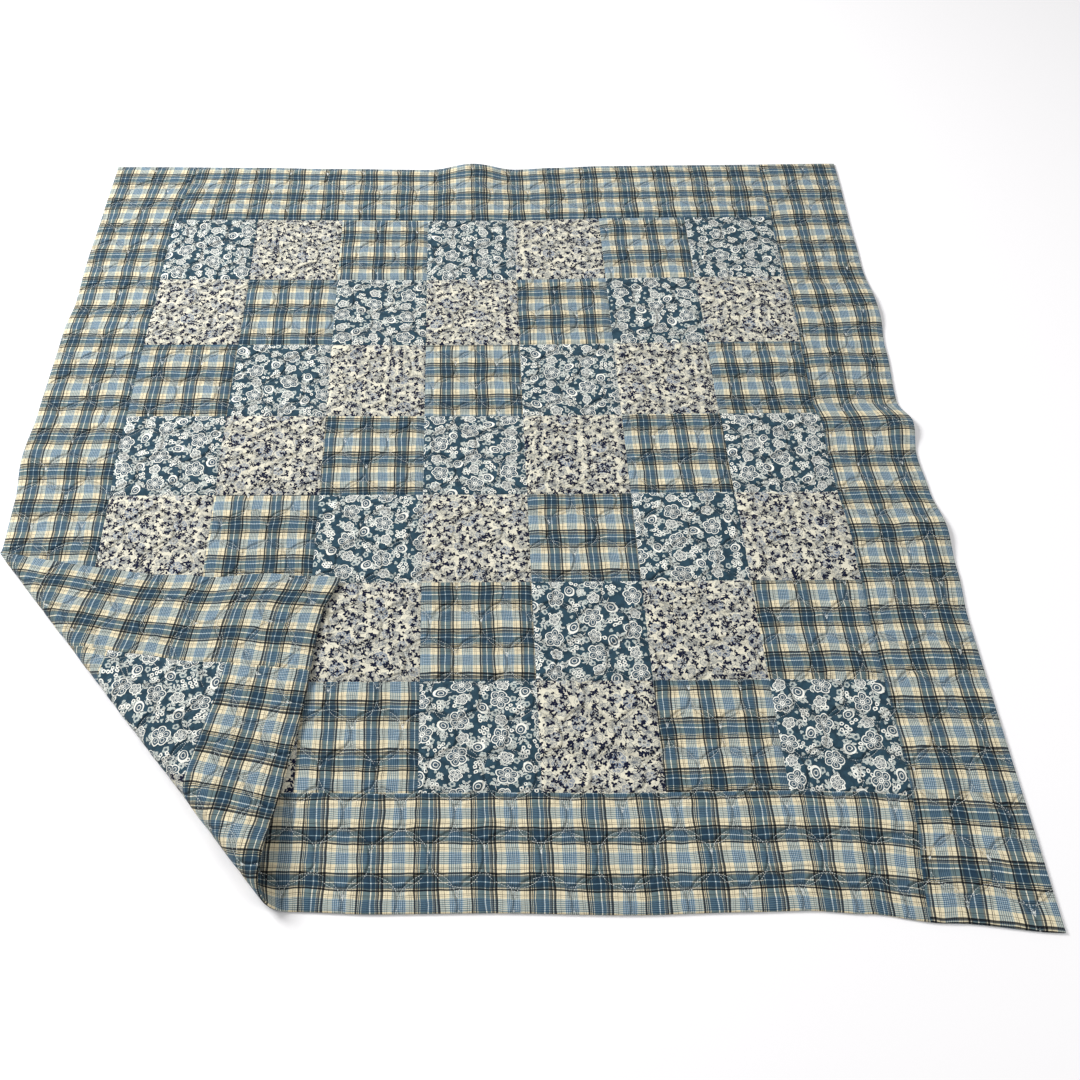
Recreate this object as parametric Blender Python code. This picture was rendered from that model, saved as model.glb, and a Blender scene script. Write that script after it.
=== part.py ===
"""A pieced patchwork quilt, laid flat with its near left corner turned over on itself.

The quilt is cut as flat slabs, a centre of seven by seven patches and four border strips. Each
is scored along the seams and the fold, given the sandwich's thickness, laid out with the quilt's
own unevenness and turned over at the fold. Metres, +Z up, +X to the right, +Y away from the
near hem.
"""

import math

import bmesh
import bpy
import numpy as np

# Cut sizes of the quilt
PATCH = 0.254
PATCHES_A_SIDE = 7
SIDE_STRIP = 0.228
END_STRIP = 0.242
SEAM_GAP = 0.0004

CENTRE_HALF = PATCH * PATCHES_A_SIDE / 2
HALF_WIDTH = CENTRE_HALF + SIDE_STRIP
HALF_LENGTH = CENTRE_HALF + END_STRIP

# Thickness of the sandwich: full between the seams, drawn in at every seam and at the hem
LOFT = 0.008
SEAM_THICKNESS = 0.005
HEM_THICKNESS = 0.005
SEAM_SHOULDER = 0.025
SHOULDER_SHARE = 0.75
HEM_SHOULDER = 0.014
HEM_CROWN = 0.045

# The fold: where each hem starts to turn, and the bend's radius there at mid thickness
FOLD_ON_LEFT_HEM = -0.275
FOLD_ON_NEAR_HEM = -0.355
RADIUS_AT_LEFT_HEM = 0.012
RADIUS_AT_NEAR_HEM = 0.031
FLAP_GAP = 0.004
SETTLE_LENGTH = 0.11
BEND_STEPS = 10
SETTLE_ANGLES = (2.0, 4.5, 8.0, 13.0)
SCORE_MERGE = 0.0006

# How far each hem lies outside its straight line: (place along the hem, offset outwards)
FAR_HEM = ((-1.117, 0.014), (-0.68, 0.008), (-0.42, 0.0), (-0.12, -0.006), (0.15, -0.007),
           (0.25, 0.0), (0.42, 0.008), (0.72, 0.010), (1.117, 0.014))
NEAR_HEM = ((-1.117, -0.022), (-1.03, -0.041), (-0.8, -0.027), (-0.55, -0.023), (-0.37, -0.009),
            (-0.2, -0.003), (0.0, -0.004), (0.3, 0.002), (0.5, -0.002), (0.63, -0.004),
            (0.756, 0.003), (0.93, 0.022), (1.117, 0.041))
LEFT_HEM = ((-1.131, 0.066), (-0.99, 0.053), (-0.79, 0.017), (-0.66, 0.003), (-0.42, -0.003),
            (-0.29, 0.0), (-0.15, 0.003), (0.0, 0.017), (0.14, 0.008), (0.43, 0.002),
            (0.55, -0.010), (0.67, -0.009), (0.94, -0.016), (1.131, -0.019))
RIGHT_HEM = ((-1.131, -0.004), (-0.8, -0.008), (-0.49, -0.007), (-0.36, 0.003), (-0.24, 0.008),
             (-0.12, -0.004), (-0.03, -0.008), (0.09, 0.005), (0.16, -0.016), (0.35, -0.002),
             (0.47, 0.010), (0.55, 0.010), (0.66, 0.003), (0.77, 0.007), (1.131, 0.018))
HEM_REACH = 0.8

# Local drifts in the plane of the cloth: (x, y, shift right, shift away, radius)
DRIFTS = (
    (-0.889, 1.131, 0.032, 0.0, 0.16),
    (0.889, -1.131, -0.030, 0.0, 0.16),
    (0.0, 0.38, 0.0, -0.008, 0.50),
)

# Places where the cloth stands off the floor: (x, y, height, half width, half length)
RISES = (
    (0.010, 1.131, 0.022, 0.13, 0.21),
    (1.117, 0.080, 0.010, 0.15, 0.08),
    (1.117, -0.240, 0.007, 0.12, 0.10),
    (1.117, 0.510, 0.007, 0.12, 0.11),
)
RISE_LINES_ACROSS = (-0.055, 0.06)
RISE_LINES_ALONG = (0.05, -0.2)

# Colours (linear), roughness
PLAID_BLUE = (0.115, 0.165, 0.235, 1.0)
PIECED_BLUE = (0.160, 0.190, 0.220, 1.0)
CLOTH_ROUGHNESS = 0.9


def clear_scene():
    """Removes what a new scene starts with."""
    for item in list(bpy.data.objects):
        bpy.data.objects.remove(item, do_unlink=True)


def eased(table, place):
    """Values between the rows of a (place, value) table, with no corner at a row."""
    places = np.array([row[0] for row in table])
    values = np.array([row[1] for row in table])
    place = np.clip(place, places[0], places[-1])
    after = np.clip(np.searchsorted(places, place, side="right"), 1, len(places) - 1)
    share = (place - places[after - 1]) / (places[after] - places[after - 1])
    share = share * share * (3 - 2 * share)
    return values[after - 1] * (1 - share) + values[after] * share


def fade(distance):
    """How much of a hem's offset reaches this far inside it."""
    return np.clip(1 - distance / HEM_REACH, 0, 1) ** 2


def uneven(u, v):
    """Where a flat point of the cut lies in plan, before the corner is turned over."""
    x = u + eased(RIGHT_HEM, v) * fade(HALF_WIDTH - u) - eased(LEFT_HEM, v) * fade(HALF_WIDTH + u)
    y = v + eased(FAR_HEM, u) * fade(HALF_LENGTH - v) - eased(NEAR_HEM, u) * fade(HALF_LENGTH + v)
    for at_x, at_y, right, away, radius in DRIFTS:
        weight = np.exp(-((u - at_x) ** 2 + (v - at_y) ** 2) / radius**2)
        x = x + right * weight
        y = y + away * weight
    return x, y


def lift(u, v):
    """Height of the underside over the floor."""
    height = np.zeros_like(u)
    for at_x, at_y, rise, half_width, half_length in RISES:
        across = np.clip(np.abs(u - at_x) / half_width, 0, 1)
        along = np.clip(np.abs(v - at_y) / half_length, 0, 1)
        height = height + rise * np.cos(math.pi / 2 * across) ** 2 * np.cos(math.pi / 2 * along) ** 2
    return height


def seam_share(u, half):
    """How full the sandwich is between the seams of one direction: 0 on a seam, 1 mid patch."""
    inside = np.clip(u, -half, half)
    from_seam = np.abs((inside + half + PATCH / 2) % PATCH - PATCH / 2)
    from_seam = from_seam + np.abs(u - inside)
    shoulder = SHOULDER_SHARE * from_seam / SEAM_SHOULDER
    crown = 1 - (1 - SHOULDER_SHARE) * (PATCH / 2 - from_seam) / (PATCH / 2 - SEAM_SHOULDER)
    return np.clip(np.minimum(shoulder, crown), 0, 1)


def strip_share(u, half):
    """As seam_share, in a border strip, whose one seam is where it meets its neighbour."""
    from_seam = np.abs(np.abs(u) - half)
    return np.clip(from_seam / SEAM_SHOULDER, 0, 1)


def hem_share(u, v):
    """How full the sandwich is near the hem: 0 on the hem, 1 on its crown."""
    inside = np.minimum(HALF_WIDTH - np.abs(u), HALF_LENGTH - np.abs(v))
    shoulder = SHOULDER_SHARE * inside / HEM_SHOULDER
    crown = 1 - (1 - SHOULDER_SHARE) * (HEM_CROWN - inside) / (HEM_CROWN - HEM_SHOULDER)
    return np.clip(np.minimum(shoulder, crown), 0, 1)


def thickness(u, v):
    """Thickness of the sandwich at each flat point."""
    in_centre = (np.abs(u) <= CENTRE_HALF) & (np.abs(v) <= CENTRE_HALF)
    in_end = (np.abs(u) <= CENTRE_HALF) & ~in_centre
    patch = np.minimum(seam_share(u, CENTRE_HALF), seam_share(v, CENTRE_HALF))
    end = np.minimum(strip_share(u, CENTRE_HALF), strip_share(v, CENTRE_HALF))
    side = strip_share(u, CENTRE_HALF)
    share = np.where(in_centre, patch, np.where(in_end, end, side))
    seam_side = SEAM_THICKNESS + (LOFT - SEAM_THICKNESS) * share
    hem_side = HEM_THICKNESS + (LOFT - HEM_THICKNESS) * hem_share(u, v)
    return np.minimum(seam_side, hem_side)


class Fold:
    """The turn of the near left corner: part of a cone that widens towards the near hem."""

    def __init__(self):
        start = np.array([-HALF_WIDTH, FOLD_ON_LEFT_HEM])
        end = np.array([FOLD_ON_NEAR_HEM, -HALF_LENGTH])
        length = float(np.hypot(*(end - start)))
        self.along = (end - start) / length
        self.outwards = np.array([self.along[1], -self.along[0]])
        self.slope = (RADIUS_AT_NEAR_HEM - RADIUS_AT_LEFT_HEM) / length
        self.apex = start - self.along * RADIUS_AT_LEFT_HEM / self.slope
        self.angle = math.pi * self.slope

    def turned(self, x, y, height, slack):
        """Place of points at plan place x, y and height above the floor before the turn.

        The turn leaves the underside flat up to the fold. In the bend it takes up the slack, by
        which the sandwich is thinner than its loft, on both faces alike.
        """
        from_apex = np.stack([x - self.apex[0], y - self.apex[1]], axis=-1)
        far = np.hypot(from_apex[..., 0], from_apex[..., 1])
        angle = np.arctan2(from_apex @ self.outwards, from_apex @ self.along)
        radius = far * self.slope
        turn = np.clip(angle / self.angle, 0, 1) * math.pi
        from_middle = LOFT / 2 - height - slack / 2 * turn / math.pi
        back = np.minimum(angle, 0) - np.maximum(angle - self.angle, 0)
        side = far * np.sin(back) + (radius + from_middle) * np.sin(turn)
        plan = (self.apex + np.multiply.outer(far * np.cos(back), self.along)
                + np.multiply.outer(side, self.outwards))
        rest = LOFT + FLAP_GAP + LOFT / 2
        over = LOFT / 2 + 2 * radius
        inside = far * np.sin(np.maximum(angle - self.angle, 0))
        settled = rest + (over - rest) * np.exp(-((inside / SETTLE_LENGTH) ** 2)) + from_middle
        bend = LOFT / 2 + radius - (radius + from_middle) * np.cos(turn)
        return plan[..., 0], plan[..., 1], np.where(angle > self.angle, settled, bend)

    def score_lines(self):
        """Directions from the apex along which the cloth is scored, as angles from the fold."""
        bend = [self.angle * step / BEND_STEPS for step in range(BEND_STEPS + 1)]
        return bend + [self.angle + math.radians(more) for more in SETTLE_ANGLES]


def laid(fold, u, v, share):
    """Place in the room of points of the flat slab, at this share of its thickness."""
    thick = thickness(u, v)
    x, y = uneven(u, v)
    x, y, z = fold.turned(x, y, share * thick, LOFT - thick)
    return np.stack([x, y, z + lift(u, v)], axis=-1)


def mirrored(values):
    """The values and their negatives."""
    return [sign * value for sign in (-1, 1) for value in values]


def score_places(half, strip):
    """Places across the whole quilt where the cloth is scored, from hem to hem."""
    hem = half + strip
    places = mirrored([hem, hem - HEM_SHOULDER, hem - HEM_CROWN, half + strip / 2, half + SEAM_SHOULDER])
    for patch in range(PATCHES_A_SIDE):
        left = -half + patch * PATCH
        places += [left, left + SEAM_SHOULDER, left + PATCH / 2, left + PATCH - SEAM_SHOULDER]
    return places + [half]


def score(bm, x, y, normal_x, normal_y):
    """Cuts every face that the upright plane through x, y crosses."""
    bmesh.ops.bisect_plane(bm, geom=bm.verts[:] + bm.edges[:] + bm.faces[:], dist=1e-5,
                           plane_co=(x, y, 0), plane_no=(normal_x, normal_y, 0))


def flat_slab(fold, low, high):
    """A flat slab of cloth between two corners, as thick as its loft, scored for the folds."""
    bm = bmesh.new()
    bmesh.ops.create_grid(bm, x_segments=1, y_segments=1, size=1)
    for vert in bm.verts:
        vert.co.x = low[0] if vert.co.x < 0 else high[0]
        vert.co.y = low[1] if vert.co.y < 0 else high[1]
    for u in score_places(CENTRE_HALF, SIDE_STRIP) + list(RISE_LINES_ACROSS):
        if low[0] < u < high[0]:
            score(bm, u, 0, 1, 0)
    for v in score_places(CENTRE_HALF, END_STRIP) + list(RISE_LINES_ALONG):
        if low[1] < v < high[1]:
            score(bm, 0, v, 0, 1)
    for angle in fold.score_lines():
        normal = fold.outwards * math.cos(angle) - fold.along * math.sin(angle)
        score(bm, fold.apex[0], fold.apex[1], normal[0], normal[1])
    bmesh.ops.remove_doubles(bm, verts=bm.verts[:], dist=SCORE_MERGE)
    bmesh.ops.triangulate(bm, faces=[face for face in bm.faces if len(face.verts) > 4])
    raised = bmesh.ops.extrude_face_region(bm, geom=bm.faces[:], use_keep_orig=True)["geom"]
    for vert in raised:
        if isinstance(vert, bmesh.types.BMVert):
            vert.co.z = LOFT
    bmesh.ops.recalc_face_normals(bm, faces=bm.faces[:])
    split_walls(bm)
    return bm


def split_walls(bm):
    """Splits each quad of the rim the same way, so that two neighbours' rims match in the bend."""
    def place(vert):
        return vert.co.x + vert.co.y

    walls = [face for face in bm.faces if len({vert.co.z for vert in face.verts}) == 2]
    for wall in walls:
        bottom = sorted((vert for vert in wall.verts if vert.co.z == 0), key=place)
        top = sorted((vert for vert in wall.verts if vert.co.z > 0), key=place)
        bmesh.utils.face_split(wall, bottom[0], top[-1])


def cloth_material(name, colour):
    """A matt cloth finish."""
    material = bpy.data.materials.new(name)
    material.use_nodes = True
    shader = material.node_tree.nodes["Principled BSDF"]
    shader.inputs["Base Color"].default_value = colour
    shader.inputs["Roughness"].default_value = CLOTH_ROUGHNESS
    shader.inputs["Metallic"].default_value = 0.0
    return material


def add_cloth(collection, fold, name, low, high, colour):
    """One cut piece of the sandwich, laid, and turned over where the fold takes it."""
    bm = flat_slab(fold, low, high)
    flat = np.array([vert.co[:] for vert in bm.verts])
    for vert, place in zip(bm.verts, laid(fold, flat[:, 0], flat[:, 1], flat[:, 2] / LOFT)):
        vert.co = place
    mesh = bpy.data.meshes.new(name)
    bm.to_mesh(mesh)
    bm.free()
    mesh.shade_smooth()
    mesh.set_sharp_from_angle(angle=math.radians(50))
    mesh.materials.append(cloth_material(name + "_cloth", colour))
    piece = bpy.data.objects.new(name, mesh)
    collection.objects.link(piece)
    return piece


def main():
    clear_scene()
    collection = bpy.data.collections.new("patchwork_quilt")
    bpy.context.scene.collection.children.link(collection)
    fold = Fold()
    seam = CENTRE_HALF - SEAM_GAP / 2
    beyond = CENTRE_HALF + SEAM_GAP / 2
    add_cloth(collection, fold, "pieced_centre", (-seam, -seam), (seam, seam), PIECED_BLUE)
    add_cloth(collection, fold, "border_far", (-seam, beyond), (seam, HALF_LENGTH), PLAID_BLUE)
    add_cloth(collection, fold, "border_near", (-seam, -HALF_LENGTH), (seam, -beyond), PLAID_BLUE)
    add_cloth(collection, fold, "border_left", (-HALF_WIDTH, -HALF_LENGTH), (-beyond, HALF_LENGTH),
              PLAID_BLUE)
    add_cloth(collection, fold, "border_right", (beyond, -HALF_LENGTH), (HALF_WIDTH, HALF_LENGTH),
              PLAID_BLUE)


main()
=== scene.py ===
"""Dresses the patchwork quilt: its pieced cloths, quilting, hem and reverse, laid with one corner over.

Metres, +Z up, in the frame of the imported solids. A flat place on the cut is u, v: u runs from the
left hem to the right one and v from the near hem to the far one, with 0, 0 in the middle.
"""

import functools
import logging
import math
from dataclasses import dataclass, field
from enum import Enum
from typing import Union

import bpy
import numpy as np
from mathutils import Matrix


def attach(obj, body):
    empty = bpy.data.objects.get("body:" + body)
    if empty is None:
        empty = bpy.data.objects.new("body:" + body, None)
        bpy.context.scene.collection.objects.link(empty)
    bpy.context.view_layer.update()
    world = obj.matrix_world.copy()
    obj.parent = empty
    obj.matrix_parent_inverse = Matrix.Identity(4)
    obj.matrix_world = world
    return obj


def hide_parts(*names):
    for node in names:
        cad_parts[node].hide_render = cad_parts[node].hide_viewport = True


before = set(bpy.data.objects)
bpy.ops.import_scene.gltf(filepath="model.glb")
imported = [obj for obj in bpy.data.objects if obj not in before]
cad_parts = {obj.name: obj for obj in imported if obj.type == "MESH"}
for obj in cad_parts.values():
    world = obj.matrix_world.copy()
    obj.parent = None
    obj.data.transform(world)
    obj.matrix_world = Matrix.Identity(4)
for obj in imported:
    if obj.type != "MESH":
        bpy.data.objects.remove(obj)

Value = Union[float, tuple, bpy.types.NodeSocket]
Colour = tuple[float, float, float, float]
Table = tuple[tuple[float, float], ...]
Sett = tuple[tuple[str, float], ...]
log = logging.getLogger("quilt")
FRONT_STEP = 0.0042
BACK_STEP = 0.0075


def dyed(red: int, green: int, blue: int) -> Colour:
    """The linear colour of a dye seen as these 0 to 255 screen values.

    Args:
        red: Red of the dye.
        green: Green of the dye.
        blue: Blue of the dye.

    Returns:
        The colour that a shader socket takes.
    """
    def linear(value: int) -> float:
        """One channel, made linear."""
        share = value / 255
        return share / 12.92 if share <= 0.04045 else ((share + 0.055) / 1.055) ** 2.4

    return (linear(red), linear(green), linear(blue), 1.0)


class Fabric(Enum):
    """The three cloths that the quilt is pieced from."""

    SLATE_FLORAL = "slate_floral"
    CREAM_FLORAL = "cream_floral"
    PLAID = "plaid"


class Face(Enum):
    """The two faces of the quilt."""

    FRONT = "front"
    BACK = "back"


def eased(table: Table, place: np.ndarray) -> np.ndarray:
    """Values between the rows of a table, with no corner at a row.

    Args:
        table: Rows of place and value, with rising places.
        place: The places asked for.

    Returns:
        The value at each place.
    """
    places = np.array([row[0] for row in table])
    values = np.array([row[1] for row in table])
    place = np.clip(place, places[0], places[-1])
    after = np.clip(np.searchsorted(places, place, side="right"), 1, len(places) - 1)
    share = (place - places[after - 1]) / (places[after] - places[after - 1])
    share = share * share * (3 - 2 * share)
    return values[after - 1] * (1 - share) + values[after] * share


@dataclass(frozen=True)
class Cut:
    """Flat sizes of one face: a square of patches inside four border strips."""

    low: tuple[float, float] = (-0.889, -0.889)
    high: tuple[float, float] = (0.889, 0.889)
    patches_a_side: int = 7
    half_width: float = 1.117
    half_length: float = 1.131

    def seams(self, axis: int) -> np.ndarray:
        """Places of the patch seams across axis 0 (u) or 1 (v), the border's own two among them."""
        return np.linspace(self.low[axis], self.high[axis], self.patches_a_side + 1)

    def from_seam(self, u: np.ndarray, v: np.ndarray) -> np.ndarray:
        """Distance of flat places to the nearest seam.

        Args:
            u: Places across.
            v: Places along.

        Returns:
            The distance to the nearest seam that reaches the place.
        """
        across = np.min(np.abs(u[..., None] - self.seams(0)), axis=-1)
        along = np.min(np.abs(v[..., None] - self.seams(1)), axis=-1)
        border = np.minimum(np.abs(u - self.low[0]), np.abs(u - self.high[0]))
        in_u = (u >= self.low[0]) & (u <= self.high[0])
        in_v = (v >= self.low[1]) & (v <= self.high[1])
        centre = np.minimum(across, along)
        end = np.minimum(border, np.minimum(np.abs(v - self.low[1]), np.abs(v - self.high[1])))
        return np.where(in_u & in_v, centre, np.where(in_u, end, border))

    def from_hem(self, u: np.ndarray, v: np.ndarray) -> np.ndarray:
        """Distance of flat places to the nearest hem."""
        return np.minimum(self.half_width - np.abs(u), self.half_length - np.abs(v))


@dataclass(frozen=True)
class Outline:
    """How far the laid hems and the cloth near them stray from the straight cut."""

    half_width: float = 1.117
    half_length: float = 1.131
    reach: float = 0.8
    far_hem: Table = ((-1.117, 0.014), (-0.68, 0.008), (-0.42, 0.0), (-0.12, -0.006), (0.15, -0.007),
                      (0.25, 0.0), (0.42, 0.008), (0.72, 0.010), (1.117, 0.014))
    near_hem: Table = ((-1.117, -0.022), (-1.03, -0.041), (-0.8, -0.027), (-0.55, -0.023),
                       (-0.37, -0.009), (-0.2, -0.003), (0.0, -0.004), (0.3, 0.002), (0.5, -0.002),
                       (0.63, -0.004), (0.756, 0.003), (0.93, 0.022), (1.117, 0.041))
    left_hem: Table = ((-1.131, 0.066), (-0.99, 0.053), (-0.79, 0.017), (-0.66, 0.003), (-0.42, -0.003),
                       (-0.29, 0.0), (-0.15, 0.003), (0.0, 0.017), (0.14, 0.008), (0.43, 0.002),
                       (0.55, -0.010), (0.67, -0.009), (0.94, -0.016), (1.131, -0.019))
    right_hem: Table = ((-1.131, -0.004), (-0.8, -0.008), (-0.49, -0.007), (-0.36, 0.003),
                        (-0.24, 0.008), (-0.12, -0.004), (-0.03, -0.008), (0.09, 0.005),
                        (0.16, -0.016), (0.35, -0.002), (0.47, 0.010), (0.55, 0.010), (0.66, 0.003),
                        (0.77, 0.007), (1.131, 0.018))
    drifts: tuple = ((-0.889, 1.131, 0.032, 0.0, 0.16), (0.889, -1.131, -0.030, 0.0, 0.16),
                     (0.0, 0.38, 0.0, -0.008, 0.50))

    def fade(self, distance: np.ndarray) -> np.ndarray:
        """How much of a hem's offset reaches this far inside it."""
        return np.clip(1 - distance / self.reach, 0, 1) ** 2

    def plan(self, u: np.ndarray, v: np.ndarray) -> tuple[np.ndarray, np.ndarray]:
        """Where flat places lie in plan, before the corner is turned over.

        Args:
            u: Places across.
            v: Places along.

        Returns:
            Their x and y on the floor.
        """
        x = (u + eased(self.right_hem, v) * self.fade(self.half_width - u)
             - eased(self.left_hem, v) * self.fade(self.half_width + u))
        y = (v + eased(self.far_hem, u) * self.fade(self.half_length - v)
             - eased(self.near_hem, u) * self.fade(self.half_length + v))
        for at_x, at_y, right, away, radius in self.drifts:
            weight = np.exp(-((u - at_x) ** 2 + (v - at_y) ** 2) / radius**2)
            x = x + right * weight
            y = y + away * weight
        return x, y


@dataclass(frozen=True)
class Rises:
    """Places where the cloth stands off the floor: x, y, height, half width, half length."""

    places: tuple = ((0.010, 1.131, 0.022, 0.13, 0.21), (1.117, 0.080, 0.010, 0.15, 0.08),
                     (1.117, -0.240, 0.007, 0.12, 0.10), (1.117, 0.510, 0.007, 0.12, 0.11))

    def height(self, u: np.ndarray, v: np.ndarray) -> np.ndarray:
        """Height of the underside over the floor at flat places.

        Args:
            u: Places across.
            v: Places along.

        Returns:
            The height at each place.
        """
        height = np.zeros_like(u)
        for at_x, at_y, rise, half_width, half_length in self.places:
            across = np.clip(np.abs(u - at_x) / half_width, 0, 1)
            along = np.clip(np.abs(v - at_y) / half_length, 0, 1)
            hump = np.cos(math.pi / 2 * across) ** 2 * np.cos(math.pi / 2 * along) ** 2
            height = height + rise * hump
        return height


@dataclass(frozen=True)
class Fold:
    """The turn of the near left corner: part of a cone that widens towards the near hem."""

    loft: float = 0.008
    start: tuple[float, float] = (-1.117, -0.275)
    end: tuple[float, float] = (-0.355, -1.131)
    start_radius: float = 0.012
    end_radius: float = 0.031
    flap_gap: float = 0.004
    settle_length: float = 0.11

    def turned(self, x: np.ndarray, y: np.ndarray, height: np.ndarray, slack: np.ndarray) -> np.ndarray:
        """Turns over what lies past the fold.

        Args:
            x: Place across, in plan, before the turn.
            y: Place along, in plan, before the turn.
            height: Height over the underside before the turn.
            slack: How much thinner than its loft the quilt is there.

        Returns:
            Points in the room.
        """
        start, end = np.array(self.start), np.array(self.end)
        length = float(np.hypot(*(end - start)))
        ahead = (end - start) / length
        outwards = np.array([ahead[1], -ahead[0]])
        slope = (self.end_radius - self.start_radius) / length
        apex = start - ahead * self.start_radius / slope
        widest = math.pi * slope
        from_apex = np.stack([x - apex[0], y - apex[1]], axis=-1)
        far = np.hypot(from_apex[..., 0], from_apex[..., 1])
        angle = np.arctan2(from_apex @ outwards, from_apex @ ahead)
        radius = far * slope
        turn = np.clip(angle / widest, 0, 1) * math.pi
        from_middle = self.loft / 2 - height - slack / 2 * turn / math.pi
        back = np.minimum(angle, 0) - np.maximum(angle - widest, 0)
        side = far * np.sin(back) + (radius + from_middle) * np.sin(turn)
        plan = (apex + np.multiply.outer(far * np.cos(back), ahead)
                + np.multiply.outer(side, outwards))
        rest = self.loft * 1.5 + self.flap_gap
        over = self.loft / 2 + 2 * radius
        inside = far * np.sin(np.maximum(angle - widest, 0))
        settled = rest + (over - rest) * np.exp(-((inside / self.settle_length) ** 2)) + from_middle
        bend = self.loft / 2 + radius - (radius + from_middle) * np.cos(turn)
        return np.stack([plan[..., 0], plan[..., 1], np.where(angle > widest, settled, bend)], axis=-1)


@dataclass(frozen=True)
class Quilting:
    """The stitched circles that hold the three layers together."""

    radius: float = 0.057
    pitch: float = 0.112
    row_pitch: float = 0.088
    at_u: float = 0.064
    at_v: float = -1.026
    wander: float = 0.0022
    wander_across: tuple = ((31.0, 17.0, 0.0), (-23.0, 53.0, 1.3))
    wander_along: tuple = ((-19.0, 27.0, 0.7), (47.0, 29.0, 2.1))

    def wandered(self, u: np.ndarray, v: np.ndarray) -> tuple[np.ndarray, np.ndarray]:
        """Flat places as the hand-guided needle saw them, a little off the drawn circles.

        Args:
            u: Places across.
            v: Places along.

        Returns:
            Places in the drawn pattern.
        """
        def stray(waves: tuple) -> np.ndarray:
            """How far the needle strays one way."""
            return self.wander * sum(np.sin(a * u + b * v + phase) for a, b, phase in waves)

        return u + stray(self.wander_across), v + stray(self.wander_along)

    def from_line(self, u: np.ndarray, v: np.ndarray) -> np.ndarray:
        """Distance of flat places to the nearest line of stitches.

        Args:
            u: Places across.
            v: Places along.

        Returns:
            The distance to the nearest circle.
        """
        drawn_u, drawn_v = self.wandered(u, v)
        first = np.floor((drawn_v - self.at_v) / self.row_pitch)
        nearest = np.full_like(u, self.pitch)
        for row in (first, first + 1):
            start = self.at_u + self.pitch / 2 * (row % 2) - self.pitch / 2
            across = (drawn_u - start) % self.pitch - self.pitch / 2
            along = drawn_v - self.at_v - row * self.row_pitch
            nearest = np.minimum(nearest, np.abs(np.hypot(across, along) - self.radius))
        return nearest


@dataclass(frozen=True)
class Crumple:
    """Soft washed-in unevenness, a sum of waves in fixed directions from a seed."""

    seed: int
    wavelength: float
    waves: int = 14
    spread: tuple[float, float] = (0.6, 1.6)
    sway: float = 1.7
    sway_rate: float = 0.37
    sway_phase: float = 2.3

    def height(self, u: np.ndarray, v: np.ndarray) -> np.ndarray:
        """Unevenness between about -1 and 1 at flat places.

        Args:
            u: Places across.
            v: Places along.

        Returns:
            The uneven height, without a unit.
        """
        draw = np.random.default_rng(self.seed)
        total = np.zeros_like(u)
        for _ in range(self.waves):
            turn = draw.uniform(0, math.tau)
            length = self.wavelength * draw.uniform(*self.spread)
            phase = draw.uniform(0, math.tau)
            run = (u * math.cos(turn) + v * math.sin(turn)) * math.tau / length
            sway = self.sway * np.sin(run * self.sway_rate + phase * self.sway_phase)
            total = total + np.sin(run + phase + sway)
        return total / math.sqrt(self.waves)


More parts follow.
